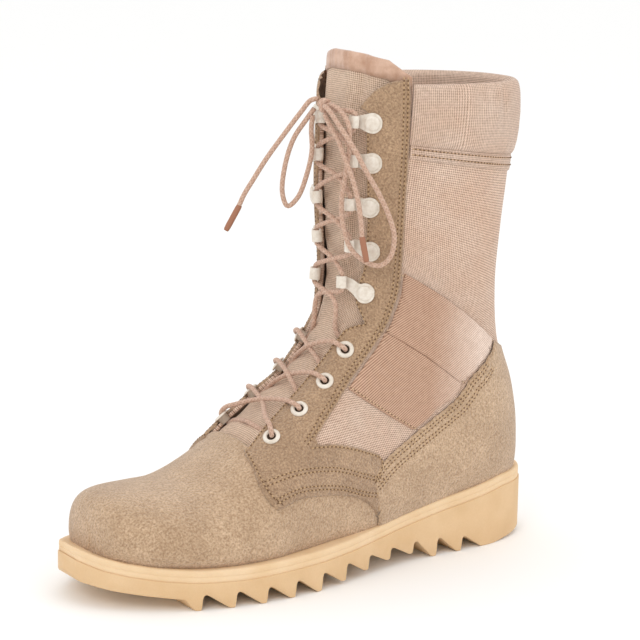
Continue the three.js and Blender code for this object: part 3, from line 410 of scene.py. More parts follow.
def grid_bmesh(points, uv=None, closed=False):
    """A grid of points, in millimetres, as a bmesh in metres with cloth coordinates."""
    rows, columns = points.shape[:2]
    bm = bmesh.new()
    bmesh.ops.create_grid(bm, x_segments=columns - 1, y_segments=rows - 1, size=.5,
                          calc_uvs=False)
    layer = bm.loops.layers.uv.new("cloth")
    placed = metres(points).reshape(-1, 3)
    cloth = None if uv is None else np.asarray(uv).reshape(-1, 2)
    bm.verts.ensure_lookup_table()
    for i, vertex in enumerate(bm.verts):
        vertex.co = placed[i]
    if cloth is not None:
        for face in bm.faces:
            for loop in face.loops:
                loop[layer].uv = cloth[loop.vert.index]
    if closed:
        bmesh.ops.remove_doubles(bm, verts=bm.verts, dist=1e-7)
    return bm


def close_holes(bm):
    bmesh.ops.holes_fill(bm, edges=[e for e in bm.edges if e.is_boundary], sides=0)


def cloth_uv(points, from_column=0):
    """Cloth coordinates in millimetres: run across the columns, and along the rows."""
    across = np.linalg.norm(np.diff(points, axis=1), axis=2)
    across = np.concatenate((np.zeros((len(points), 1)), np.cumsum(across, axis=1)), axis=1)
    across -= across[:, from_column:from_column + 1]
    along = np.linalg.norm(np.diff(points, axis=0), axis=2).mean(axis=1)
    along = np.concatenate(([0], np.cumsum(along)))[:, None] + 0 * across
    return np.stack((across, along), axis=-1)


def thicken(bm, thickness, behind):
    """Gives a skin a thickness, in millimetres, on the side of a point behind it."""
    bm.normal_update()
    behind = Vector(metres(np.array(behind, float)))
    facing = sum(face.calc_area() * face.normal.dot(face.calc_center_median() - behind)
                 for face in bm.faces)
    if facing < 0:
        bmesh.ops.reverse_faces(bm, faces=bm.faces)
    bmesh.ops.solidify(bm, geom=bm.faces[:] + bm.edges[:] + bm.verts[:],
                       thickness=thickness * MM)


def sheet(name, grid, material, middle=0, wall=None, behind=None, closed=False):
    """A piece from a grid of points, with a wall on the side of a point behind it."""
    bm = grid_bmesh(grid, cloth_uv(grid, middle), closed)
    if wall is not None:
        thicken(bm, wall, behind)
    return finished(name, mesh_from(name, bm), material)


def tube_mesh(name, points, radius, sides=12, swell=None):
    """A tube round a line of points, with cloth coordinates along and around it."""
    points = np.asarray(points, float)
    tangents = unit(np.gradient(points, axis=0))
    up = np.array((0.0, 0.0, 1.0)) if abs(tangents[0][2]) < .9 else np.array((0.0, 1.0, 0.0))
    side = np.cross(tangents[0], up)
    rings = []
    radii = np.full(len(points), radius) if swell is None else radius * np.asarray(swell)
    turns = np.linspace(0, 2 * pi, sides + 1)
    for point, tangent, r in zip(points, tangents, radii):
        side = side - tangent * side.dot(tangent)
        side /= np.linalg.norm(side)
        other = np.cross(tangent, side)
        rings.append(point + r * (np.cos(turns)[:, None] * side + np.sin(turns)[:, None] * other))
    rings = np.array(rings)
    run = run_along(points)
    uv = np.stack(np.broadcast_arrays(turns[None, :] / (2 * pi), run[:, None]), axis=-1)
    bm = grid_bmesh(rings, uv, closed=True)
    close_holes(bm)
    return mesh_from(name, bm)


def lathe_mesh(name, profile, steps, matrix):
    """A turned piece from a profile of (radius, height), standing on a place."""
    bm = bmesh.new()
    corners = [bm.verts.new((r * MM, 0, z * MM)) for r, z in profile]
    edges = [bm.edges.new(pair) for pair in zip(corners, corners[1:])]
    bmesh.ops.spin(bm, geom=corners + edges, cent=(0, 0, 0), axis=(0, 0, 1), angle=2 * pi,
                   steps=steps, use_merge=True, use_duplicate=False)
    bmesh.ops.remove_doubles(bm, verts=bm.verts, dist=1e-7)
    bmesh.ops.transform(bm, matrix=matrix, verts=bm.verts)
    return mesh_from(name, bm)


def stand_matrix(place, around, offset):
    """The place of a piece that stands on the last, in metres."""
    spot = Vector(metres(surface(place, around, offset)))
    normal = Vector(last_normal(place, around))
    turn = Vector((0, 0, 1)).rotation_difference(normal)
    return Matrix.LocRotScale(spot, turn, None)


def joined(name, meshes, material):
    """Several meshes as one piece."""
    bm = bmesh.new()
    for mesh in meshes:
        bm.from_mesh(mesh)
        bpy.data.meshes.remove(mesh)
    return finished(name, mesh_from(name, bm), material)


def resample(line, spacing):
    """A line across sections, spaced evenly as seen from the side."""
    line = np.asarray(line, float)
    dense = np.concatenate([
        np.linspace(a, b, 30, endpoint=False) for a, b in zip(line[:-1], line[1:])] + [line[-1:]])
    run = run_along(side_view(dense))
    stops = np.linspace(0, run[-1], max(2, int(round(run[-1] / spacing)) + 1))
    return np.stack([np.interp(stops, run, dense[:, k]) for k in (0, 1)], axis=1)


def rounded_line(line, rounds=2):
    """Softens the corners of a line by cutting them, its ends kept."""
    line = np.asarray(line, float)
    for _ in range(rounds):
        near = line[:-1] * .75 + line[1:] * .25
        far = line[:-1] * .25 + line[1:] * .75
        cut = np.stack((near, far), axis=1).reshape(-1, 2)
        line = np.concatenate((line[:1], cut[1:-1], line[-1:]))
    return line


def on_sections(line, side):
    """Places and arounds of a line of (section, across)."""
    line = np.asarray(line, float)
    return line[:, 0], around_of(line[:, 0], line[:, 1], side)


RING_REACHES = (.3, .8, 1.6, 2.3, 2.9, 3.5, 4.4)
PANEL_SPACING = 2.0
# Millimetres on a panel's flat sheet for one section along, and for one unit of around
SHEET_SCALE = (14.0, 150.0)


def seam_groove(distance):
    """The dip that a double row of stitches pulls into a panel beside its edge."""
    return -.32 * np.exp(-((distance - 2.9) / 1.0) ** 2)


def panel(name, outline, low, thickness, material, spacing=PANEL_SPACING, edge=.9, drop=.5,
          relief=None):
    """A flat overlay with a rounded edge, cut from an outline of places and arounds.

    It's meshed on a sheet whose axes are the place along the boot and the turn around
    it, and is laid on the last from a low offset up by its thickness.
    """
    place, around = outline
    scale = np.array(SHEET_SCALE)
    flat = np.stack((place, around), axis=1) * scale
    border = surface(place, around, low)
    tree = KDTree(4 * len(border))
    finer = evened(np.concatenate((border, border[:1])), 4 * len(border))
    for i, point in enumerate(finer):
        tree.insert(point, i)
    tree.balance()
    low_corner, high_corner = flat.min(axis=0), flat.max(axis=0)
    xs = np.arange(low_corner[0], high_corner[0], spacing)
    ys = np.arange(low_corner[1], high_corner[1], spacing)
    inner = [(x + (spacing / 2 if j % 2 else 0), y) for j, y in enumerate(ys) for x in xs]
    step = np.roll(flat, -1, axis=0) - np.roll(flat, 1, axis=0)
    area = np.sum(flat[:, 0] * np.roll(flat[:, 1], -1) - np.roll(flat[:, 0], -1) * flat[:, 1])
    inward = unit(np.stack((-step[:, 1], step[:, 0]), axis=1), 1e-9) * (1 if area > 0 else -1)
    rings = [tuple(p) for reach in RING_REACHES for p in flat + inward * reach]
    candidates = [Vector(p) for p in inner + rings]
    ring = [Vector(p) for p in flat]
    count = len(ring)
    border_edges = [(i, (i + 1) % count) for i in range(count)]
    found = geometry.delaunay_2d_cdt(ring + candidates, border_edges, [], 1, 1e-4)
    flat_points = np.array([tuple(v) for v in found[0]])
    arounds = flat_points[:, 1] / scale[1]
    places = flat_points[:, 0] / scale[0]
    base = surface(places, arounds, low)
    distance = np.array([tree.find(p)[2] for p in base])
    share = np.clip(distance / edge, 0, 1)
    rise = np.sqrt(np.clip(1 - (1 - share) ** 2, 0, 1)) * (thickness + drop) - drop
    if relief is not None:
        rise = rise + relief(distance)
    lifted = base + last_normal(places, arounds) * rise[:, None]
    bm = bmesh.new()
    layer = bm.loops.layers.uv.new("cloth")
    corners = [bm.verts.new(p) for p in metres(lifted)]
    for triangle in found[2]:
        if len(set(triangle)) == 3:
            bm.faces.new([corners[i] for i in triangle])
    loose = [v for v in bm.verts if not v.link_faces]
    bmesh.ops.delete(bm, geom=loose, context="VERTS")
    for face in bm.faces:
        for loop in face.loops:
            x, _, z = (np.array(loop.vert.co) - SHIFT) / MM
            loop[layer].uv = (x, z)
    return finished(name, mesh_from(name, bm), material)


def stitches(name, lines, material, pitch=2.5, length=1.5, radius=.32, hole=.42):
    """Rows of raised threads along lines on the boot, with dark pinholes of painted shade between
    them.
    """
    meshes = []
    holes = []
    for line in lines:
        count = max(2, int(length_of(line) / pitch))
        spots = evened(line, count)
        steps = np.gradient(spots, axis=0)
        for spot, step in zip(spots, steps):
            run = step / (np.linalg.norm(step) + 1e-9) * length / 2
            ends = np.array([spot - run, spot - run * .6, spot + run * .6, spot + run])
            meshes.append(tube_mesh("thread", ends, radius, sides=5, swell=(.45, 1, 1, .45)))
            # Painted shade: a dark capsule in each gap stands for the shadow in the needle hole.
            gap = spot + step / 2
            reach = run * (pitch - length * .8) / length
            ends = np.array([gap - reach, gap - reach * .4, gap + reach * .4, gap + reach])
            holes.append(tube_mesh("pinhole", ends, hole, sides=6, swell=(.4, 1, 1, .4)))
    joined(f"pinholes_{name}", holes, pinhole_shade_finish)
    return joined(name, meshes, material)


def seen_inset(line, inset, side):
    """A line of (section, across) moved sideways, in millimetres as seen from the side,
    as places and arounds. It's moved towards the low point where inset is positive."""
    line = np.asarray(line, float)
    seen = side_view(line)
    step = np.gradient(seen, axis=0)
    normal = unit(np.stack((-step[:, 1], step[:, 0]), axis=1))
    moved = seen + normal * inset
    place, across = unseen(moved, line)
    return place, around_of(place, across, side)


def unseen(points, near):
    """Sections and shares across of points seen from the side, close to known ones."""
    found = np.array(near, float)
    step = 1e-3
    for _ in range(8):
        here = side_view(found)
        by_place = (side_view(found + (step, 0)) - here) / step
        by_across = (side_view(found + (0, step)) - here) / step
        miss = points - here
        det = by_place[:, 0] * by_across[:, 1] - by_place[:, 1] * by_across[:, 0]
        found[:, 0] += (miss[:, 0] * by_across[:, 1] - miss[:, 1] * by_across[:, 0]) / det
        found[:, 1] += (by_place[:, 0] * miss[:, 1] - by_place[:, 1] * miss[:, 0]) / det
    return found[:, 0], found[:, 1]


# Materials
class Wire:
    """A value in a shader that takes part in arithmetic."""

    def __init__(self, shader, socket):
        self.shader = shader
        self.socket = socket

    def with_other(self, operation, other, turned=False):
        pair = (other, self) if turned else (self, other)
        return self.shader.math(operation, *pair)

    def __add__(self, other):
        return self.with_other("ADD", other)

    def __sub__(self, other):
        return self.with_other("SUBTRACT", other)

    def __mul__(self, other):
        return self.with_other("MULTIPLY", other)

    def __truediv__(self, other):
        return self.with_other("DIVIDE", other)

    def __rsub__(self, other):
        return self.with_other("SUBTRACT", other, turned=True)

    __radd__ = __add__
    __rmul__ = __mul__


class Shader:
    """One material and the nodes that it is made of."""

    def __init__(self, name, roughness=.8, metallic=0.0, specular=.3, **constants):
        self.material = bpy.data.materials.new(name)
        self.material.use_nodes = True
        self.tree = self.material.node_tree
        self.base = self.tree.nodes["Principled BSDF"]
        self.base.inputs["Roughness"].default_value = roughness
        self.base.inputs["Metallic"].default_value = metallic
        self.base.inputs["Specular IOR Level"].default_value = specular
        for socket, value in constants.items():
            self.base.inputs[socket.replace("_", " ")].default_value = value

    def node(self, kind, settings=None, **inputs):
        """A node with its settings, and its inputs as values or links."""
        made = self.tree.nodes.new(kind)
        for key, value in (settings or {}).items():
            setattr(made, key, value)
        for key, value in inputs.items():
            socket = made.inputs[int(key[1:])] if key[0] == "_" else made.inputs[key]
            if isinstance(value, Wire):
                self.tree.links.new(value.socket, socket)
            else:
                socket.default_value = value
        return made

    def math(self, operation, a, b=0.0):
        made = self.node("ShaderNodeMath", {"operation": operation}, _0=a, _1=b)
        return Wire(self, made.outputs[0])

    def sine(self, value):
        return self.math("SINE", value)

    def size(self, value):
        return self.math("ABSOLUTE", value)

    def greater(self, a, b):
        return self.math("MAXIMUM", a, b)

    def place(self):
        made = self.node("ShaderNodeTexCoord")
        return Wire(self, made.outputs["Object"])

    def cloth(self):
        """Cloth coordinates in millimetres, across and along."""
        coords = self.node("ShaderNodeUVMap", {"uv_map": "cloth"})
        split = self.node("ShaderNodeSeparateXYZ", _0=Wire(self, coords.outputs[0]))
        return Wire(self, split.outputs[0]), Wire(self, split.outputs[1])

    def noise(self, grain, detail=3.0, rough=.55):
        """Noise of about that grain in millimetres, from 0 to 1."""
        made = self.node("ShaderNodeTexNoise", {"noise_dimensions": "3D"},
                         Vector=self.place(), Scale=1 / (grain * MM),
                         Detail=detail, Roughness=rough)
        return Wire(self, made.outputs[0])

    def ramp(self, value, low, high):
        """A value's share of the way from low to high."""
        made = self.node("ShaderNodeMapRange", {"clamp": True}, Value=value,
                         _1=low, _2=high, _3=0.0, _4=1.0)
        return Wire(self, made.outputs[0])

    def blend(self, share, first, second):
        """Two colours, the second by a share."""
        made = self.node("ShaderNodeMix", {"data_type": "RGBA"}, _0=share,
                         _6=first if isinstance(first, Wire) else (*first, 1.0),
                         _7=second if isinstance(second, Wire) else (*second, 1.0))
        return Wire(self, made.outputs[2])

    def finish(self, color=None, height=None, depth=.3, roughness=None):
        """Links what varies to the surface. Depth is the bump's height in millimetres."""
        if color is not None:
            if isinstance(color, Wire):
                self.tree.links.new(color.socket, self.base.inputs["Base Color"])
            else:
                self.base.inputs["Base Color"].default_value = (*color, 1.0)
        if roughness is not None:
            self.tree.links.new(roughness.socket, self.base.inputs["Roughness"])
        if height is not None:
            bump = self.node("ShaderNodeBump", Strength=1.0, Distance=depth * MM, Height=height)
            self.tree.links.new(bump.outputs[0], self.base.inputs["Normal"])
        return self.material


def paint(hexadecimal):
    """A linear colour from the code of a screen colour."""
    channels = [int(hexadecimal[i:i + 2], 16) / 255 for i in (0, 2, 4)]
    return tuple(c / 12.92 if c <= .04045 else ((c + .055) / 1.055) ** 2.4 for c in channels)


def paints(codes):
    """Dark, main and light colours from their codes."""
    return [paint(code) for code in codes.split()]


def suede(name, dark, main, light, grain=1.0):
    """Rough-out leather: fine nap, small darker pits and soft patches of wear."""
    shader = Shader(name, roughness=.95, specular=.15, Sheen_Weight=.35, Sheen_Roughness=.6)
    fine = shader.ramp(shader.noise(1.15 * grain, 2.0, .6), .32, .68)
    pits = shader.ramp(shader.noise(3.6 * grain, 3.0, .6), .36, .60)
    patches = shader.ramp(shader.noise(24, 3.0, .5), .36, .64)
    tone = shader.blend(fine, shader.blend(.5, main, dark), light)
    tone = shader.blend((1 - patches) * .25 + (1 - pits) * .12, tone, dark)
    return shader.finish(tone, pits * .3 + fine, .45)


def woven(name, dark, main, light, thread=1.35, depth=.35):
    """Coarse plain weave, two threads each way, with uneven yarn and painted shade in its hollows.
    """
    shader = Shader(name, roughness=.9, specular=.2, Sheen_Weight=.15)
    u, v = shader.cloth()
    warp = shader.sine(u * (pi / thread))
    weft = shader.sine(v * (pi / thread))
    over = shader.ramp(warp * weft, -.35, .35)
    up = shader.size(warp) * (.45 + .55 * over)
    across = shader.size(weft) * (1.0 - .55 * over)
    height = shader.greater(up, across)
    yarn = shader.noise(2.2, 3.0, .6)
    patches = shader.ramp(shader.noise(26, 2.0, .5), .3, .7)
    tone = shader.blend(patches, main, light)
    # Painted shade: the hollows between the threads are darkened towards the dark colour.
    hollow_shade = shader.ramp(height, .95, .35)
    tone = shader.blend(hollow_shade * .8 + (1 - shader.ramp(yarn, .3, .7)) * .22, tone, dark)
    return shader.finish(tone, height + yarn * .35, depth)


def ribbed(name, dark, main, light, slant, rib=1.25, depth=.3):
    """Twill webbing, with ribs that run at a slant to the view from the side."""
    shader = Shader(name, roughness=.8, specular=.25, Sheen_Weight=.1)
    x, z = shader.cloth()
    along = x * cos(slant) + z * sin(slant)
    across = z * cos(slant) - x * sin(slant)
    ribs = shader.size(shader.sine(across * (pi / rib)))
    picks = shader.size(shader.sine((along + across * .5) * (pi / .8)))
    height = ribs * .7 + picks * .3 * ribs
    yarn = shader.ramp(shader.noise(3.0, 3.0, .6), .3, .7)
    # Painted light: the tape turns towards the light colour near the heel, where more light falls
    # on it.
    fade = shader.ramp(x + shader.noise(30, 2.0, .5) * 16, 100.0, 62.0)
    tone = shader.blend(fade, main, light)
    # Painted shade in the grooves between the ribs, less of it towards the heel where the painted
    # light is.
    tone = shader.blend((1 - height) * (.9 - fade * .45) + (1 - yarn) * .15, tone, dark)
    return shader.finish(tone, height, depth)


def crepe(name, dark, main, light):
    """Natural crepe rubber: matt, warm, faintly cloudy and moulded."""
    shader = Shader(name, roughness=.62, specular=.35, Subsurface_Weight=.06)
    shader.base.inputs["Subsurface Radius"].default_value = (.006, .004, .002)
    clouds = shader.ramp(shader.noise(22, 3.0, .5), .3, .7)
    grain = shader.noise(.9, 3.0, .6)
    tone = shader.blend(clouds, main, light)
    tone = shader.blend((1 - grain) * .25, tone, dark)
    return shader.finish(tone, grain, .08)


def satin(name, dark, main, light):
    """Shiny tape with soft light and dark patches."""
    shader = Shader(name, roughness=.38, specular=.5, Sheen_Weight=.2)
    patches = shader.ramp(shader.noise(7, 2.0, .5), .35, .65)
    fine = shader.noise(.6, 2.0, .5)
    tone = shader.blend(patches, main, light)
    tone = shader.blend((1 - fine) * .35, tone, dark)
    return shader.finish(tone, fine + patches * .8, .12)


def enamel(name, main, shade):
    """Cream paint on pressed metal."""
    shader = Shader(name, roughness=.34, specular=.5, Coat_Weight=.15)
    tone = shader.blend(shader.ramp(shader.noise(3, 3.0, .6), .35, .75), main, shade)
    return shader.finish(tone, shader.noise(1.2, 2.0, .5), .02)


def braid(name, dark, main, light, pitch=2.4, strands=4):
    """A round braid, whose strands cross in two directions round the lace."""
    shader = Shader(name, roughness=.75, specular=.3, Sheen_Weight=.2)
    turn, run = shader.cloth()
    right = shader.sine((turn * strands + run / pitch) * (2 * pi))
    left = shader.sine((turn * strands - run / pitch) * (2 * pi))
    height = shader.greater(shader.ramp(right, -.4, 1), shader.ramp(left, -.4, 1))
    fleck = shader.ramp(shader.sine(run * (2 * pi / (pitch * 1.9)) + turn * 6.3), .2, .9)
    tone = shader.blend(fleck * .35, main, light)
    # Painted shade: the gaps between the strands are darkened towards the dark colour.
    tone = shader.blend((1 - height) * .35, tone, dark)
    return shader.finish(tone, height, .25)


def plain(name, color, roughness, grain=None, depth=.05):
    shader = Shader(name, roughness=roughness)
    height = None if grain is None else shader.noise(grain)
    return shader.finish(color, height, depth)


suede_finish = suede("suede", *paints("8c6b4b c3a17f dcbd9c"))
# The facing's suede is the vamp's suede made darker: painted shade for the duller light on the
# facing.
facing_finish = suede("facing_suede", *paints("765940 b08e6d caa886"), .95)
nylon_finish = woven("nylon", *paints("93705a f3d2ba fbe2ce"))
tongue_finish = woven("tongue_nylon", *paints("9a7a60 f0d3ba f8e0ca"), 1.2)
cuff_finish = woven("cuff_nylon", *paints("94745e f4d4bd fbe3d1"), 1.05)
# The webbing's light colour is painted light, laid on towards the heel.
webbing_finish = ribbed("webbing", *paints("8a6349 dcb69d fae3d3"), radians(-32))
lining_finish = plain("lining", paint("d9bfa4"), .9, 1.2, .2)
binding_finish = satin("binding_satin", *paints("7f5a40 bd9277 d8b39b"))
outsole_finish = crepe("crepe", *paints("b98f60 dab78b e4c49b"))
midsole_finish = crepe("crepe_light", *paints("c79f70 e4c49a edd2ae"))
enamel_finish = enamel("cream_enamel", *paints("e8dfd2 d2c4b2"))
lace_finish = braid("lace_braid", *paints("825c45 cda993 e6cab5"))
aglet_finish = plain("aglet_plastic", paint("a06e55"), .45, 1.5, .1)
thread_finish = plain("thread", paint("d9bd98"), .7)
thread_dark_finish = plain("thread_dark", paint("c2a27c"), .75)
bore_shadow_finish = plain("eyelet_shadow", paint("3b2c20"), .95)
# Painted shade for the needle holes between the stitches.
pinhole_shade_finish = plain("pinhole", paint("735840"), .95)


# Upper
def crease_field(points, creases):
    """How far soft folds raise or sink a skin, in millimetres."""
    total = np.zeros(points.shape[:-1])
    for start, end, width, depth in creases:
        a, b = np.array(start, float), np.array(end, float)
        run = b - a
        share = np.clip((points - a) @ run / (run @ run), 0, 1)
        nearest = a + share[..., None] * run
        distance = np.linalg.norm(points - nearest, axis=-1)
        total += depth * np.exp(-(distance / width) ** 2) * (1 - .35 * np.abs(2 * share - 1))
    return total


# Soft folds of the upper: ends in millimetres, width, and how far they stand or sink
SHAFT_CREASES = (
    ((95, 45, 150), (40, 42, 172), 9, -.9),
    ((100, 45, 172), (45, 44, 192), 10, .7),
    ((95, 46, 205), (40, 43, 214), 11, -.6),
    ((60, 46, 235), (30, 30, 244), 9, .5),
    ((95, -42, 150), (40, -40, 170), 9, -.9),
    ((95, -44, 185), (40, -42, 204), 11, .7),
)
VAMP_CREASES = (
    ((222, 34, 50), (205, 40, 44), 8, -.5),
    ((232, 26, 58), (214, 38, 47), 7, .4),
    ((225, -32, 50), (208, -34, 44), 8, -.5),
    ((262, 10, 60), (255, 30, 52), 10, .4),
)


def skin(name, places, start, stop, columns, offset, material, creases):
    """A stretch of the upper between two edges, with its wall behind it."""
    share = np.linspace(0, 1, columns)
    arounds = start[:, None] + (stop - start)[:, None] * share[None, :]
    grid = surface(places[:, None], arounds, offset)
    lift = crease_field(grid, creases)
    grid = surface(places[:, None], arounds, offset + lift)
    return sheet(name, grid, material, columns // 2, WALL, INSIDE_SHAFT)


TOE_BULGE = 1.2
# Points that lie behind the skins, in millimetres
INSIDE_SHAFT = (70, 0, 120)
INSIDE_TOE = (225, 0, 20)
BEHIND_TONGUE = (0, 0, 60)
FAR_BELOW = (150, 0, -900)
# Rear edge of the vamp, hidden under the facing's band, as (section, across)
VAMP_REAR = [(8.3, 0), (8.3, .30), (9.2, .42), (10.2, .52), (11.0, .61), (11.6, .70), (11.7, .85)]
QUARTER_LOW = 8.0


def make_vamp():
    """The toe and vamp, down into the sole, up to the throat and back to the heel's cup."""
    columns = np.linspace(0, 2, 221)
    rear_place, rear_around = on_sections(VAMP_REAR, 1)
    rear = np.interp(np.minimum(columns, 2 - columns), rear_around, rear_place)
    shares = np.concatenate((np.linspace(0, .05, 8, endpoint=False), np.linspace(.05, 1, 150)))
    places = shares[:, None] * rear[None, :]
    grid = surface(places, columns[None, :], 0.0)
    grid = surface(places, columns[None, :], crease_field(grid, VAMP_CREASES))
    middle = grid[0].mean(axis=0)
    tips = [middle + (grid[0] - middle) * cos(t) + (TOE_BULGE * sin(t), 0, 0)
            for t in np.linspace(pi / 2, 0, 12, endpoint=False)]
    grid = np.concatenate((tips, grid))
    piece = sheet("vamp", grid, suede_finish, 0, WALL, INSIDE_TOE, closed=True)
    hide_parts("upper")
    return piece


def make_quarters():
    """Nylon sides and back, from the vamp up to the collar."""
    places = np.linspace(QUARTER_LOW, 21.55, 260)
    start = throat_around(places, 1)
    stop = throat_around(places, -1)
    tuck = -.45 * np.clip((9.0 - places) / .4, 0, 1)[:, None] - .05
    piece = skin("quarters", places, start, stop, 240, tuck, nylon_finish, SHAFT_CREASES)
    return piece


def panel_ring(line, side):
    """Places and arounds of a closed outline, evenly spaced."""
    closed = list(line) + [line[0]]
    ring = resample(closed, PANEL_SPACING)[:-1]
    return on_sections(ring, side)


def throat_line(low, high, side, step=.12):
    places = np.arange(low, high, step)
    return places, throat_around(places, side)


def make_facing(side, word):
    """Eyestay and its lower band, one piece of suede."""
    rear = resample(rounded_line(FACING_REAR, 1), 1.6)
    low = resample(rounded_line(BAND_LOW, 1), 1.6)
    rear_place, rear_around = on_sections(rear, side)
    low_place, low_around = on_sections(low, side)
    front_place, front_around = throat_line(8.12, 21.62, side)
    place = np.concatenate((front_place, rear_place, low_place))
    around = np.concatenate((front_around, rear_around, low_around))
    piece = panel(f"facing_{word}", (place, around), .15, SUEDE, facing_finish, PANEL_SPACING,
                  1.0, 1.6, seam_groove)
    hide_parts(f"facing_{word}")
    return piece


COUNTER_TOP_RISE = .12
COUNTER_LOW_RISE = 2.6


def make_counter():
    """The heel's suede cup, one piece round the back."""
    edge = resample(rounded_line(COUNTER_EDGE, 1), 1.8)
    place, around = on_sections(edge, 1)
    back = np.linspace(around[0], 2 - around[0], 24)[1:-1]
    bottom_around = np.linspace(2 - around[-1], around[-1], 40)[1:-1]
    top_place = COUNTER_EDGE[0][0] + COUNTER_TOP_RISE * np.sin(np.linspace(0, pi, len(back)))
    low_rise = np.sin(np.linspace(0, pi, len(bottom_around))) ** .5
    low_place = COUNTER_EDGE[-1][0] + COUNTER_LOW_RISE * low_rise
    place = np.concatenate((place[::-1], top_place, place, low_place))
    around = np.concatenate((around[::-1], back, 2 - around, bottom_around))
    piece = panel("heel_counter", (place, around), .15, SUEDE, suede_finish, 2.2, 1.0)
    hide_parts("heel_counter")
    return piece


def make_webbing(side, word):
    """Two strips of ribbed tape sewn side by side over the ankle."""
    pieces = []
    strips = {
        "upper": [*WEB_TOP_EDGE, (16.75, .655), *WEB_SEAM[::-1], (15.9, .182), (16.9, .21)],
        "lower": [*WEB_SEAM, (14.05, .474), *WEB_LOW_EDGE[::-1], (12.9, .148), (14.2, .153)],
    }
    for part, line in strips.items():
        piece = panel(f"webbing_{part}_{word}", panel_ring(line, side), .1,
                      WEBBING + (.3 if part == "upper" else 0), webbing_finish, 2.4, .7)
        pieces.append(piece)
    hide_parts(f"ankle_webbing_{word}")
    return pieces


CUFF_ROUND = (
    (21.10, 0.0), (21.12, 1.6), (21.20, 3.0), (21.36, 3.8), (21.58, 4.1), (21.78, 3.8),
    (21.93, 2.8), (22.01, 1.2), (22.03, -1.0), (22.0, -3.4), (21.9, -5.2), (21.7, -5.7),
    (21.4, -5.6), (21.18, -4.9), (21.09, -3.0),
)
CUFF_ROUND_LENGTH = 165
# Share of around over which each end of the cuff closes in
CUFF_TUCK = .014
CUFF_BAND_START = (21.0, .225)
CUFF_BAND_ROWS = ((21.12, .2), (21.10, 1.1), (21.04, 1.25), (20.92, 1.15), (20.88, .85),
                  (20.865, .1))
CUFF_WRINKLES = (
    # around, lean, width, depth, low, high
    (.30, .010, .010, -.5, 21.05, 21.5), (.37, -.012, .012, .45, 21.1, 21.7),
    (.46, .014, .013, -.7, 21.5, 22.1), (.55, -.016, .016, -1.3, 21.45, 22.15),
    (.60, .020, .014, 1.2, 21.4, 22.15), (.65, -.014, .015, -1.5, 21.45, 22.15),
    (.72, .010, .012, -.5, 21.05, 21.6), (.80, .010, .012, .5, 21.1, 21.8),
    (.92, -.010, .012, -.6, 21.5, 22.1), (1.05, .010, .013, .5, 21.1, 21.8),
    (1.18, -.012, .012, -.6, 21.5, 22.1), (1.32, .012, .012, -.7, 21.4, 22.1),
    (1.44, -.010, .012, .6, 21.3, 22.1), (1.56, .010, .012, -.6, 21.5, 22.1),
)


def make_cuff():
    """The padded roll round the collar, with small wrinkles pressed into its nylon."""
    start = float(around_of(21.4, CUFF_FROM_ACROSS - CUFF_TUCK))
    arounds = np.linspace(start, 2 - start, 340)
    ring = spline(CUFF_ROUND + (CUFF_ROUND[0],), 72)
    places = np.broadcast_to(ring[:, 0], (len(arounds), len(ring)))
    offsets = np.broadcast_to(ring[:, 1], places.shape).copy()
    outside = np.clip((offsets + 6) / 6, 0, 1)
    ends = np.minimum(arounds - start, 2 - start - arounds)[:, None]
    tuck = np.sqrt(np.clip(ends / CUFF_TUCK, 0, 1))
    turned = arounds[:, None] + 0 * places
    relief = .35 * np.sin(turned * 31) * np.sin(turned * 13 + 2 * places)
    for around, lean, width, depth, low, high in CUFF_WRINKLES:
        span = (places - low) / (high - low)
        fade = np.clip(np.sin(np.clip(span, 0, 1) * pi), 0, 1)
        shift = turned - around - lean * (places - 21.5) * 2
        relief = relief + depth * fade * np.exp(-(shift / width) ** 2)
    offsets = offsets * (.25 + .75 * tuck) + relief * outside * tuck
    grid = surface(places, turned, offsets)
    cloth = np.broadcast_arrays(arounds[:, None] * CUFF_ROUND_LENGTH,
                                run_along(grid[len(grid) // 2])[None, :])
    bm = grid_bmesh(grid, np.stack(cloth, axis=-1), closed=True)
    close_holes(bm)
    piece = finished("collar_cuff", mesh_from("collar_cuff", bm), cuff_finish)
    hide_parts("collar_cuff")
    return piece


def make_cuff_band():
    """The folded strip that is sewn down under the cuff."""
    start = float(around_of(*CUFF_BAND_START))
    arounds = np.linspace(start, 2 - start, 200)
    rows = np.array(CUFF_BAND_ROWS)
    grid = surface(rows[None, :, 0], arounds[:, None], rows[None, :, 1])
    return sheet("cuff_band", grid, cuff_finish)


def make_backstay():
    """Narrow strip up the back seam."""
    places = np.linspace(17.9, 21.1, 70)
    shares = np.linspace(-1, 1, 13)
    arounds = 1 + shares * .055
    lift = .2 + WEBBING * np.sqrt(np.clip(1 - (np.abs(shares) ** 8), 0, 1))
    grid = surface(places[:, None], arounds[None, :], lift[None, :])
    piece = sheet("backstay", grid, webbing_finish)
    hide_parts("backstay")
    return piece


TONGUE_OUT = -3.9
TONGUE_DEPTH = 3.6
TONGUE_START = 7.6
TONGUE_COLUMNS = 90
LAST_END = 22.6


def tongue_offset(place, side):
    """The tongue's outer face, with a fold down its middle and soft waves across it."""
    fold = -2.3 * np.exp(-((side - .30) / .09) ** 2) + 1.1 * np.exp(-((side - .10) / .12) ** 2)
    high = np.clip((place - 14) / 4, 0, 1)
    low = np.clip((13.5 - place) / 3, 0, 1)
    waves = .45 * np.sin(place * 3.9 + side * 2.2) * high + .5 * np.sin(place * 4.6) * low
    return TONGUE_OUT + fold * high + waves


def tongue_top(side):
    rise = TONGUE_RISE * np.interp(side, TONGUE_TOP["side"], TONGUE_TOP["rise"])
    return 22 + rise / (height_at(SHAFT["front_up"][-1]) - COLLAR_HEIGHT)


def tongue_surface(places, sides, offset):
    """Points over the tongue, which goes on straight above the last's end."""
    arounds = sides * TONGUE_SPAN
    over = np.maximum(places - LAST_END, 0)
    grid = surface(np.minimum(places, LAST_END), arounds, offset)
    step = surface(LAST_END, arounds, 0) - surface(LAST_END - .1, arounds, 0)
    return grid + step * (over / .1)[..., None]


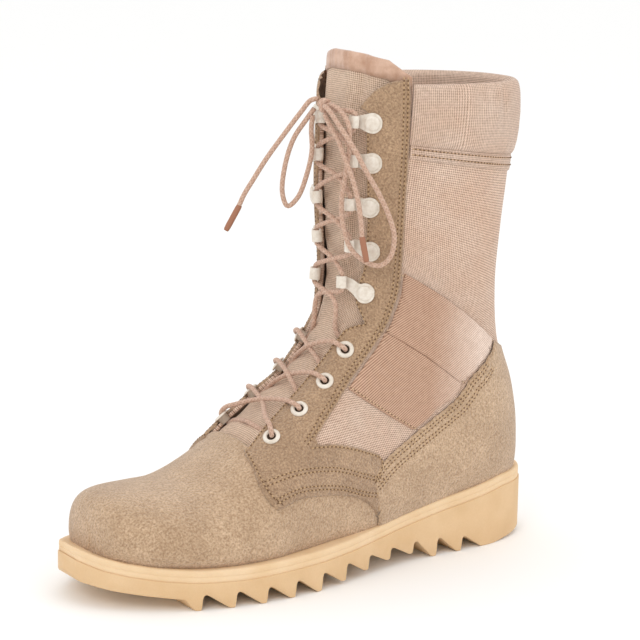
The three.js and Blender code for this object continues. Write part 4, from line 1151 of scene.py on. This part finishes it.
def make_tongue():
    """The nylon tongue, padded and folded."""
    sides = np.linspace(-1, 1, TONGUE_COLUMNS)[None, :]
    places = TONGUE_START + (tongue_top(sides) - TONGUE_START) * np.linspace(0, 1, 220)[:, None]
    sides = np.broadcast_to(sides, places.shape)
    grid = tongue_surface(places, sides, tongue_offset(places, sides))
    piece = sheet("tongue", grid, tongue_finish, TONGUE_COLUMNS // 2, TONGUE_DEPTH * .8,
                  BEHIND_TONGUE)
    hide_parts("tongue")
    return piece


# The binding's cross-section: millimetres above the tongue's top and out from its face
BINDING_PROFILE = (
    (-10, .15), (-10, .75), (-6, .95), (-2, .95), (-.3, .75), (.7, .2), (1, -1.2), (.7, -3.2),
    (-.3, -3.9), (-4, -4.0), (-10, -3.9), (-10, -3.2),
)


def make_binding():
    """Satin tape folded over the tongue's top edge."""
    unit = height_at(SHAFT["front_up"][-1]) - COLLAR_HEIGHT
    sides = np.linspace(-1, 1, 120)
    tops = tongue_top(sides)
    rows = []
    for drop, lift in BINDING_PROFILE:
        places = tops + drop / unit
        out = tongue_offset(tops - .3, sides) + lift
        out = out + .15 * np.sin(sides * 60 + drop * .2) * np.sin(sides * 17)
        rows.append(tongue_surface(places, sides, out))
    piece = sheet("tongue_binding", np.array(rows), binding_finish)
    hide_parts("tongue_binding")
    return piece


INSOLE_THICKNESS = 3.2
INSOLE_INSET = 10


def make_insole():
    """The footbed, seen down the shaft."""
    xs = np.linspace(.045, .955, 90)
    sides = np.linspace(-1, 1, 21)
    grid = []
    for along in xs:
        ends = 200 * (along - .03), 200 * (.972 - along)
        outer = min(sole_half(along, "outer") - INSOLE_INSET, *ends)
        inner = min(sole_half(along, "inner") - INSOLE_INSET, *ends)
        ys = np.where(sides > 0, sides * outer, sides * inner)
        height = sole_top(along) + 4.3 + 1.2 * sides**2
        grid.append(np.stack((along * SOLE_LENGTH + 0 * ys, ys, height), axis=1))
    piece = sheet("insole", np.array(grid), lining_finish, 0, INSOLE_THICKNESS, FAR_BELOW)
    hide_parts("insole")
    return piece


# Sole
TOOTH_COUNT = 12
TOOTH_PITCH = 18.67
TOOTH_LAND = 2.4
TOOTH_DEPTH = 8.6
FIRST_TOOTH = .823
HEEL_LAND = 9.0
HEEL_BEVEL = 4.2
ARCH_LIFT = 5.4
OUTSOLE_EDGE = .7
ARCH_SHARE = (0, 0, 0, 0, 0, .35, .7, 1, .95, 0, 0, 0)
VALLEY_SHARE = (1, 1, 1, 1.05, 1.15, 1.3, 1.35, 1.35, 1.35, 1.2, .95, .95)
TOE_UNDERSIDE = ((1, 2.07), (.989, 1.58), (.954, 1.29), (.911, 1.06), (.846, .77))
HEEL_FACE = ((0, 0), (.45, .35), (.8, .72), (1.5, .93), (2.6, 1.0), (4.2, .95))


def underside():
    """Side view of the underside, from the toe back to the heel, rounded at its tips."""
    points = [(along * SOLE_LENGTH, rise * TOOTH_DEPTH) for along, rise in TOE_UNDERSIDE]
    for i in range(TOOTH_COUNT):
        tip = FIRST_TOOTH * SOLE_LENGTH - i * TOOTH_PITCH
        lift = ARCH_SHARE[i] * ARCH_LIFT
        points.append((tip + TOOTH_LAND / 2 + .9, lift + .45))
        points.append((tip + TOOTH_LAND / 2, lift + .05))
        if i == TOOTH_COUNT - 1:
            points.append((tip - HEEL_LAND, lift))
            break
        valley = TOOTH_DEPTH * VALLEY_SHARE[i]
        points.append((tip - TOOTH_LAND / 2 + .5, lift))
        for lean, rise in HEEL_FACE:
            points.append((tip - TOOTH_LAND / 2 - lean, lift + .3 + (valley - lift - .3) * rise))
    points.append((0.0, HEEL_BEVEL))
    return points


def make_outsole():
    """The rippled outsole, laid out as rows of points from the heel to the toe."""
    profile = np.array(underside()[::-1])
    ends = (1 - np.cos(np.linspace(0, pi, 150))) / 2 * SOLE_LENGTH
    xs = np.unique(np.round(np.concatenate((ends, profile[:, 0])), 3))
    xs = xs[np.concatenate(([True], np.diff(xs) > .08))]
    under = np.interp(xs, profile[:, 0], profile[:, 1])
    along = xs / SOLE_LENGTH
    top = sole_top(along) - MIDSOLE_THICKNESS
    outer, inner = sole_half(along, "outer"), -sole_half(along, "inner")
    grid = []
    for x, low, high, left, right in zip(xs, under, top, outer, inner):
        low = min(low, high - 1.0)
        inset = min(OUTSOLE_EDGE, (left - right) / 4)
        column = [
            (x, left - 1.6, high), (x, left - .2, high), (x, left, high - .25),
            (x, left, low + (high - low) * .5), (x, left, low + OUTSOLE_EDGE),
            (x, left - inset * .3, low + OUTSOLE_EDGE * .3), (x, left - inset, low),
            (x, (left + right) / 2, low),
            (x, right + inset, low), (x, right + inset * .3, low + OUTSOLE_EDGE * .3),
            (x, right, low + OUTSOLE_EDGE), (x, right, low + (high - low) * .5),
            (x, right, high - .25), (x, right + .2, high), (x, right + 1.6, high),
            (x, left - 1.6, high),
        ]
        grid.append(column)
    grid = np.array(grid)
    bm = grid_bmesh(grid, cloth_uv(grid), closed=True)
    close_holes(bm)
    mesh = mesh_from("outsole", bm)
    piece = finished("outsole", mesh, outsole_finish)
    mesh.shade_smooth()
    mesh.set_sharp_from_angle(angle=radians(38))
    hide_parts("outsole")
    return piece


MIDSOLE_PROFILE = (
    # inset from the plan, height below the top, share of the way in to the middle line
    (2.6, .3, 1.0), (2.6, .3, .5), (2.6, .15, .1), (2.6, 0.0, 0), (1.6, .12, 0), (.95, .5, 0),
    (.7, 1.2, 0), (.62, 2.4, 0), (.62, 3.6, 0), (.8, 3.85, 0), (.8, 3.95, 0), (.62, 4.2, 0),
    (.6, 6.9, 0), (.9, 7.3, 0), (2.0, 7.3, .5), (2.0, 7.3, 1.0),
)
MIDSOLE_CORE = 28


def make_midsole():
    """The welt band over the outsole, with a rounded top and a fine seam."""
    share = np.linspace(0, 2, 520)
    along = (1 - np.cos(np.where(share <= 1, share, 2 - share) * pi)) / 2
    lateral = share <= 1
    y = np.where(lateral, sole_half(along, "outer"), -sole_half(along, "inner"))
    x = along * SOLE_LENGTH
    plan = np.stack((x, y), axis=1)
    step = np.roll(plan, -1, axis=0) - np.roll(plan, 1, axis=0)
    normal = unit(np.stack((step[:, 1], -step[:, 0]), axis=1), 1e-9)
    middle = np.stack((np.clip(x, MIDSOLE_CORE, SOLE_LENGTH - MIDSOLE_CORE), 0 * y), axis=1)
    rows = []
    for inset, drop, gather in MIDSOLE_PROFILE:
        spots = plan + normal * inset
        spots += (middle - spots) * gather
        rows.append(np.column_stack((spots, sole_top(spots[:, 0] / SOLE_LENGTH) - drop)))
    grid = np.array(rows)
    grid = np.concatenate((grid, grid[:, :1]), axis=1)
    bm = grid_bmesh(grid, cloth_uv(grid), closed=True)
    bmesh.ops.remove_doubles(bm, verts=bm.verts, dist=2e-6)
    piece = finished("midsole", mesh_from("midsole", bm), midsole_finish)
    piece.data.set_sharp_from_angle(angle=radians(50))
    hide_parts("midsole")
    return piece


# Hardware
def make_eyelet(name, place, around):
    low, rim = -4.4, 1.15
    profile = [(EYELET_BORE + .1, low), (EYELET_BORE, low + 1), (EYELET_BORE, rim * .2),
               (EYELET_BORE + .35, rim * .8), (EYELET_BORE + 1.0, rim),
               (EYELET_RADIUS - 1.0, rim * .85), (EYELET_RADIUS - .2, rim * .35),
               (EYELET_RADIUS, .0), (EYELET_RADIUS - .1, -.15), (EYELET_BORE + .8, -.15),
               (EYELET_BORE + .6, low), (EYELET_BORE + .1, low)]
    mesh = lathe_mesh(name, profile, 36, stand_matrix(place, around, SUEDE + .3))
    piece = finished(name, mesh, enamel_finish)
    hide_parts(name)
    # Painted shadow: a dark disc across the bore stands for the shade inside the eyelet.
    dark = lathe_mesh(f"bore_{name}", [(0, .2), (EYELET_BORE + .3, .2), (EYELET_BORE + .3, -.1),
                                       (0, -.1)], 24, stand_matrix(place, around, SUEDE + .3))
    return finished(f"bore_{name}", dark, bore_shadow_finish)


PLATE_END = 5.7
PLATE_HALF = .42


def make_hook(name, place, rivet, tube):
    """A speed hook: a riveted plate whose end is rolled into an open loop for the lace."""
    seat = SUEDE + .25
    head = [(0, 1.5), (1.6, 1.5), (2.6, 1.35), (RIVET_RADIUS - .5, 1.1), (RIVET_RADIUS - .1, .7),
            (RIVET_RADIUS, .3), (RIVET_RADIUS, .0), (0, 0)]
    dome = lathe_mesh("head", head, 32, stand_matrix(place, rivet, seat + .8))
    base = surface(place, rivet, seat + .5)
    centre = surface(place, tube, HOOK_LIFT)
    up = last_normal(place, (rivet + tube) / 2)
    axis = surface(place + .1, tube, HOOK_LIFT) - surface(place - .1, tube, HOOK_LIFT)
    axis /= np.linalg.norm(axis)
    run = centre - base
    run -= axis * run.dot(axis)
    run /= np.linalg.norm(run)
    lift = np.cross(run, axis)
    lift *= np.sign(lift.dot(up))
    roll = HOOK_TUBE_RADIUS - .5
    path = [base + run * reach for reach in (-5.5, -5.1, -4.0, -2.0, 0.0, RIVET_RADIUS * .6)]
    bend = centre - run * 1.2 - lift * roll
    path.append(base * .35 + bend * .65)
    for turn in np.linspace(-100, 155, 14):
        path.append(centre + roll * (cos(radians(turn)) * run + sin(radians(turn)) * lift))
    path = np.array(path)
    line = spline(path, 60)
    tangents = unit(np.gradient(line, axis=0))
    faces = np.cross(tangents, axis)
    along = (line - base) @ run
    widths = np.interp(along, (2.6, (centre - base) @ run * .75), (PLATE_END * .9, 3.4))
    disc = (along < 2.6) & (np.arange(len(line)) < 30)
    widths[disc] = np.sqrt(np.maximum(PLATE_END**2 - along[disc] ** 2, 1))
    grid = []
    thick = PLATE_HALF
    for point, face, half in zip(line, faces, widths):
        corners = [(-half, -thick), (-half - .12, 0), (-half, thick), (0, thick + .05),
                   (half, thick), (half + .12, 0), (half, -thick), (0, -thick - .05)]
        corners.append(corners[0])
        grid.append([point + axis * a + face * b for a, b in corners])
    bm = grid_bmesh(np.array(grid), None, closed=True)
    close_holes(bm)
    strap = mesh_from("strap", bm)
    piece = joined(name, [dome, strap], enamel_finish)
    piece.data.set_sharp_from_angle(angle=radians(45))
    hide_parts(name)
    return piece


# Lace
LACE_RADIUS = LACE_DIAMETER / 2
LACE_DRAWN = 1.4
OVER_FACING = SUEDE + .3 + LACE_RADIUS
UNDER_FACING = -(WALL + LACE_RADIUS + .3)
OVER_TONGUE = TONGUE_OUT + LACE_RADIUS + .4
# How far each half of the lace crosses over the tongue, by its first side, and how much
# higher on its way to an eyelet or to a hook's loop
HALF_LIFT = {1: 1.0, -1: 2.2}
EYELET_LIFT = 1.6
LOOP_LIFT = 3.2


def anchor(index, side):
    """Place and around of an eyelet, or of a hook's loop."""
    if index < len(EYELETS):
        place, around = EYELETS[index]
        return place, side * around
    row = HOOKS[index - len(EYELETS)]
    return row[0], row[2] if side > 0 else -row[4]


def at(place, around, offset):
    return tuple(surface(place, around, offset))


def loop_ends(index, side):
    """Where the lace goes in at the bottom of a hook's loop and comes out on top."""
    place, around = anchor(index, side)
    centre = surface(place, around, HOOK_LIFT)
    axis = surface(place + .1, around, HOOK_LIFT) - surface(place - .1, around, HOOK_LIFT)
    axis /= np.linalg.norm(axis)
    return [tuple(centre + axis * reach) for reach in (-4.6, -1.5, 1.5, 4.6)]


def eyelet_way(index, side, arriving):
    """The lace's way through an eyelet: in from outside, and on under the edge."""
    place, around = anchor(index, side)
    if arriving:
        return [at(place - .12, around * .60, OVER_FACING + .3),
                at(place - .05, around * .84, OVER_FACING + .9),
                at(place, around * .985, OVER_FACING - .3),
                at(place, around, -.6),
                at(place + .06, around * .93, UNDER_FACING + .5)]
    return [at(place + .20, around * .70, UNDER_FACING + .3),
            at(place + .35, around * .40, OVER_TONGUE - .2)]


def lacing_route(first_side):
    """One half of the lace, from the lowest bar up to the knot, crossing at each step."""
    side = first_side
    place, around = anchor(0, side)
    route = [at(place - .02, 0.0, OVER_TONGUE - .3), at(place, around * .6, UNDER_FACING + .3),
             at(place, around * .93, UNDER_FACING + .4), at(place, around, -.5),
             at(place + .04, around * .97, OVER_FACING - .1),
             at(place + .14, around * .80, OVER_FACING + .8),
             at(place + .24, around * .50, OVER_FACING - .2)]
    last = len(EYELETS) + len(HOOKS) - 1
    for index in range(last):
        side = -side
        here, there = anchor(index, -side), anchor(index + 1, side)
        middle_place = (here[0] + there[0]) / 2 + .08
        to_eyelet = index + 1 < len(EYELETS)
        lift = OVER_TONGUE + HALF_LIFT[first_side] + (EYELET_LIFT if to_eyelet else LOOP_LIFT)
        middle_around = (here[1] + there[1]) / 2
        route.append(at(middle_place, middle_around, lift))
        if to_eyelet:
            route += eyelet_way(index + 1, side, True) + eyelet_way(index + 1, side, False)
        else:
            route += loop_ends(index + 1, side)
    route.append(tuple(np.array(KNOT) + (-.6, 1.4 * side, -1.8)))
    return route


def make_lacing():
    """The two halves of the lace, up through the eyelets and hooks."""
    pieces = []
    for number, first_side in enumerate((1, -1), 1):
        route = lacing_route(first_side)
        line = spline(route, 620)
        mesh = tube_mesh("lacing", line, LACE_DRAWN, 12)
        piece = finished(f"lacing_{number}", mesh, lace_finish)
        pieces.append(piece)
    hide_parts(*[f"lace_crossing_{i}" for i in range(1, 9)])
    return pieces


def make_knot():
    """The bow's knot: a wrap of lace round the crossing strands."""
    centre = np.array(KNOT, float)
    turns = np.linspace(0, 2.35 * 2 * pi, 120)
    drift = np.linspace(-1, 1, 120)
    wrap = np.stack((
        centre[0] + .5 + 2.3 * np.cos(turns),
        centre[1] + 1.6 * drift + .6 * np.sin(turns * .5),
        centre[2] + 2.9 * np.sin(turns),
    ), axis=1)
    meshes = [tube_mesh("wrap", wrap, LACE_DRAWN, 12)]
    core = spline([centre + (-2.2, -4.4, 1.4), centre + (.4, -1.5, .4),
                   centre + (.8, 2.2, -.2), centre + (-1.6, 5.0, .8)], 30)
    meshes.append(tube_mesh("core", core, LACE_RADIUS * 1.15, 12))
    piece = joined("lace_knot", meshes, lace_finish)
    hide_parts("lace_knot")
    return piece


AGLET_OVERLAP = 1.6


def make_aglet(name, ends):
    start, stop = (np.array(end, float) for end in ends)
    start -= (stop - start) / np.linalg.norm(stop - start) * AGLET_OVERLAP
    line = np.linspace(start, stop, 14)
    swell = [.86, .97] + [1.0] * 9 + [.98, .93, .8]
    piece = finished(name, tube_mesh(name, line, 1.75, 16, swell), aglet_finish)
    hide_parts(name)
    return piece


def make_bow():
    """Loops and loose ends of the lace, at their real length."""
    aglets = {name: make_aglet(name, ends) for name, ends in AGLETS.items()}
    for name, points in BOW.items():
        line = spline(points, 40 * len(points))
        line = evened(line, max(24, int(length_of(line) / 1.1)))
        piece = finished(name, tube_mesh(name, line, LACE_DRAWN, 12), lace_finish)
        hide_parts(name)


# Stitching. Rows on the band, as (section, across)
BAND_ROW = [
    (11.62, .64), (11.12, .565), (10.49, .474), (9.74, .391), (9.17, .337), (8.59, .294),
    (8.2, .27),
]
FRONT_ROW = [(8.16, .05), (8.06, .155), (8.03, .254), (8.15, .356), (8.3, .41)]
LOWER_ROW = [
    (11.3, .69), (10.9, .645), (10.5, .588), (10.1, .545), (9.57, .49), (9.05, .44),
    (8.6, .42), (8.3, .41),
]


def along_line(line, inset, side, lift):
    """A stitch row beside an edge, as points over the boot."""
    place, around = seen_inset(resample(rounded_line(line, 1), 2.0), inset, side)
    return surface(place, around, lift)


def throat_row(low, high, side, inward, lift):
    """A row beside the throat's edge, moved in over the facing."""
    places, arounds = throat_line(low, high, side, .1)
    edge = surface(places, arounds, lift)
    step = surface(places, arounds + .01 * side, lift) - edge
    return edge + unit(step) * inward


def make_stitching(side, word):
    over = SUEDE + .12
    rear = FACING_REAR[6:17]
    rows = [along_line(rear, inset, side, over) for inset in (1.9, 3.9)]
    rows.append(along_line(FACING_REAR[16:], 1.6, side, over))
    rows += [throat_row(8.3, 21.6, side, 1.7, over)]
    piece = stitches(f"stitching_facing_{word}", rows, thread_dark_finish)
    rows = [along_line(row, inset, side, over) for row in (BAND_ROW, LOWER_ROW)
            for inset in (0, 2.0)]
    rows.append(along_line(FRONT_ROW, 0, side, over))
    piece = stitches(f"stitching_band_{word}", rows, thread_dark_finish)
    rows = [along_line(COUNTER_EDGE[1:7], inset, side, over) for inset in (-2.0, -4.0, -7.6, -9.6)]
    piece = stitches(f"stitching_counter_{word}", rows, thread_dark_finish)
    web = WEBBING + .12
    rows = [along_line(WEB_TOP_EDGE, 1.4, side, web), along_line(WEB_LOW_EDGE, -1.4, side, web),
            along_line(WEB_SEAM, -1.2, side, web)]
    piece = stitches(f"stitching_webbing_{word}", rows, thread_finish, 2.4, 1.5, .22, .3)


def make_cuff_stitching():
    start = float(around_of(*CUFF_BAND_START))
    arounds = np.linspace(start + .01, 2 - start - .01, 200)
    rows = [surface(place, arounds, 1.28) for place in (21.055, 20.955)]
    piece = stitches("stitching_cuff", rows, thread_dark_finish, 2.5, 1.5, .26, .42)
    return piece


# Stage and camera. Each light has a place and size in metres, and watts
LIGHTS = (
    ("key", (1.3, .9, 1.3), (.6, .6), 4.4),
    ("side", (-1.3, 1.5, .8), (1.0, 1.0), 3),
    ("top", (0, 0, 1.9), (1.2, 1.2), 3),
)
LIGHTS_AIM = Vector((0, 0, .12))
FLOOR_HALF = 8
WORLD_STRENGTH = 1.03


def make_stage():
    bm = bmesh.new()
    bmesh.ops.create_grid(bm, x_segments=1, y_segments=1, size=FLOOR_HALF)
    floor = bpy.data.objects.new("floor", mesh_from("floor", bm))
    bpy.context.collection.objects.link(floor)
    floor.data.materials.append(plain("floor_paint", paint("fbfbfa"), .9))
    for name, spot, size, power in LIGHTS:
        lamp = bpy.data.lights.new(name, "AREA")
        lamp.shape = "RECTANGLE"
        lamp.size, lamp.size_y = size
        lamp.energy = power
        made = bpy.data.objects.new(name, lamp)
        made.location = spot
        made.rotation_euler = (LIGHTS_AIM - Vector(spot)).to_track_quat("-Z", "Y").to_euler()
        bpy.context.collection.objects.link(made)
    world = bpy.data.worlds.new("studio")
    bpy.context.scene.world = world
    world.use_nodes = True
    world.node_tree.nodes["Background"].inputs["Color"].default_value = (1, 1, 1, 1)
    world.node_tree.nodes["Background"].inputs["Strength"].default_value = WORLD_STRENGTH


def make_camera():
    yaw, pitch, roll = (radians(v) for v in (CAMERA_YAW, CAMERA_PITCH, CAMERA_ROLL))
    forward = Vector((cos(pitch) * cos(yaw), cos(pitch) * sin(yaw), sin(pitch)))
    level = forward.cross(Vector((0, 0, 1))).normalized()
    above = level.cross(forward)
    right = level * cos(roll) + above * sin(roll)
    up = above * cos(roll) - level * sin(roll)
    camera = bpy.data.cameras.new("camera")
    camera.lens = CAMERA_LENS
    camera.sensor_width = 36
    camera.clip_end = 50
    made = bpy.data.objects.new("camera", camera)
    turn = Matrix((right, up, -forward)).transposed().to_4x4()
    made.matrix_world = Matrix.Translation(Vector(metres(CAMERA_SPOT))) @ turn
    bpy.context.collection.objects.link(made)
    bpy.context.scene.camera = made


make_camera()
make_stage()
bpy.context.scene.view_settings.view_transform = "Standard"
make_bow()
make_knot()
make_lacing()
make_vamp()
make_quarters()
make_counter()
make_cuff()
make_cuff_band()
make_backstay()
make_tongue()
make_binding()
make_insole()
make_outsole()
make_midsole()
for side, word in ((1, "lateral"), (-1, "medial")):
    make_facing(side, word)
    make_webbing(side, word)
    for number, (place, around) in enumerate(EYELETS, 1):
        make_eyelet(f"eyelet_{word}_{number}", place, side * around)
    for number, row in enumerate(HOOKS, 1):
        rivet, tube = (row[1], row[2]) if side > 0 else (-row[3], -row[4])
        make_hook(f"hook_{word}_{number}", row[0], rivet, tube)
    make_stitching(side, word)
make_cuff_stitching()
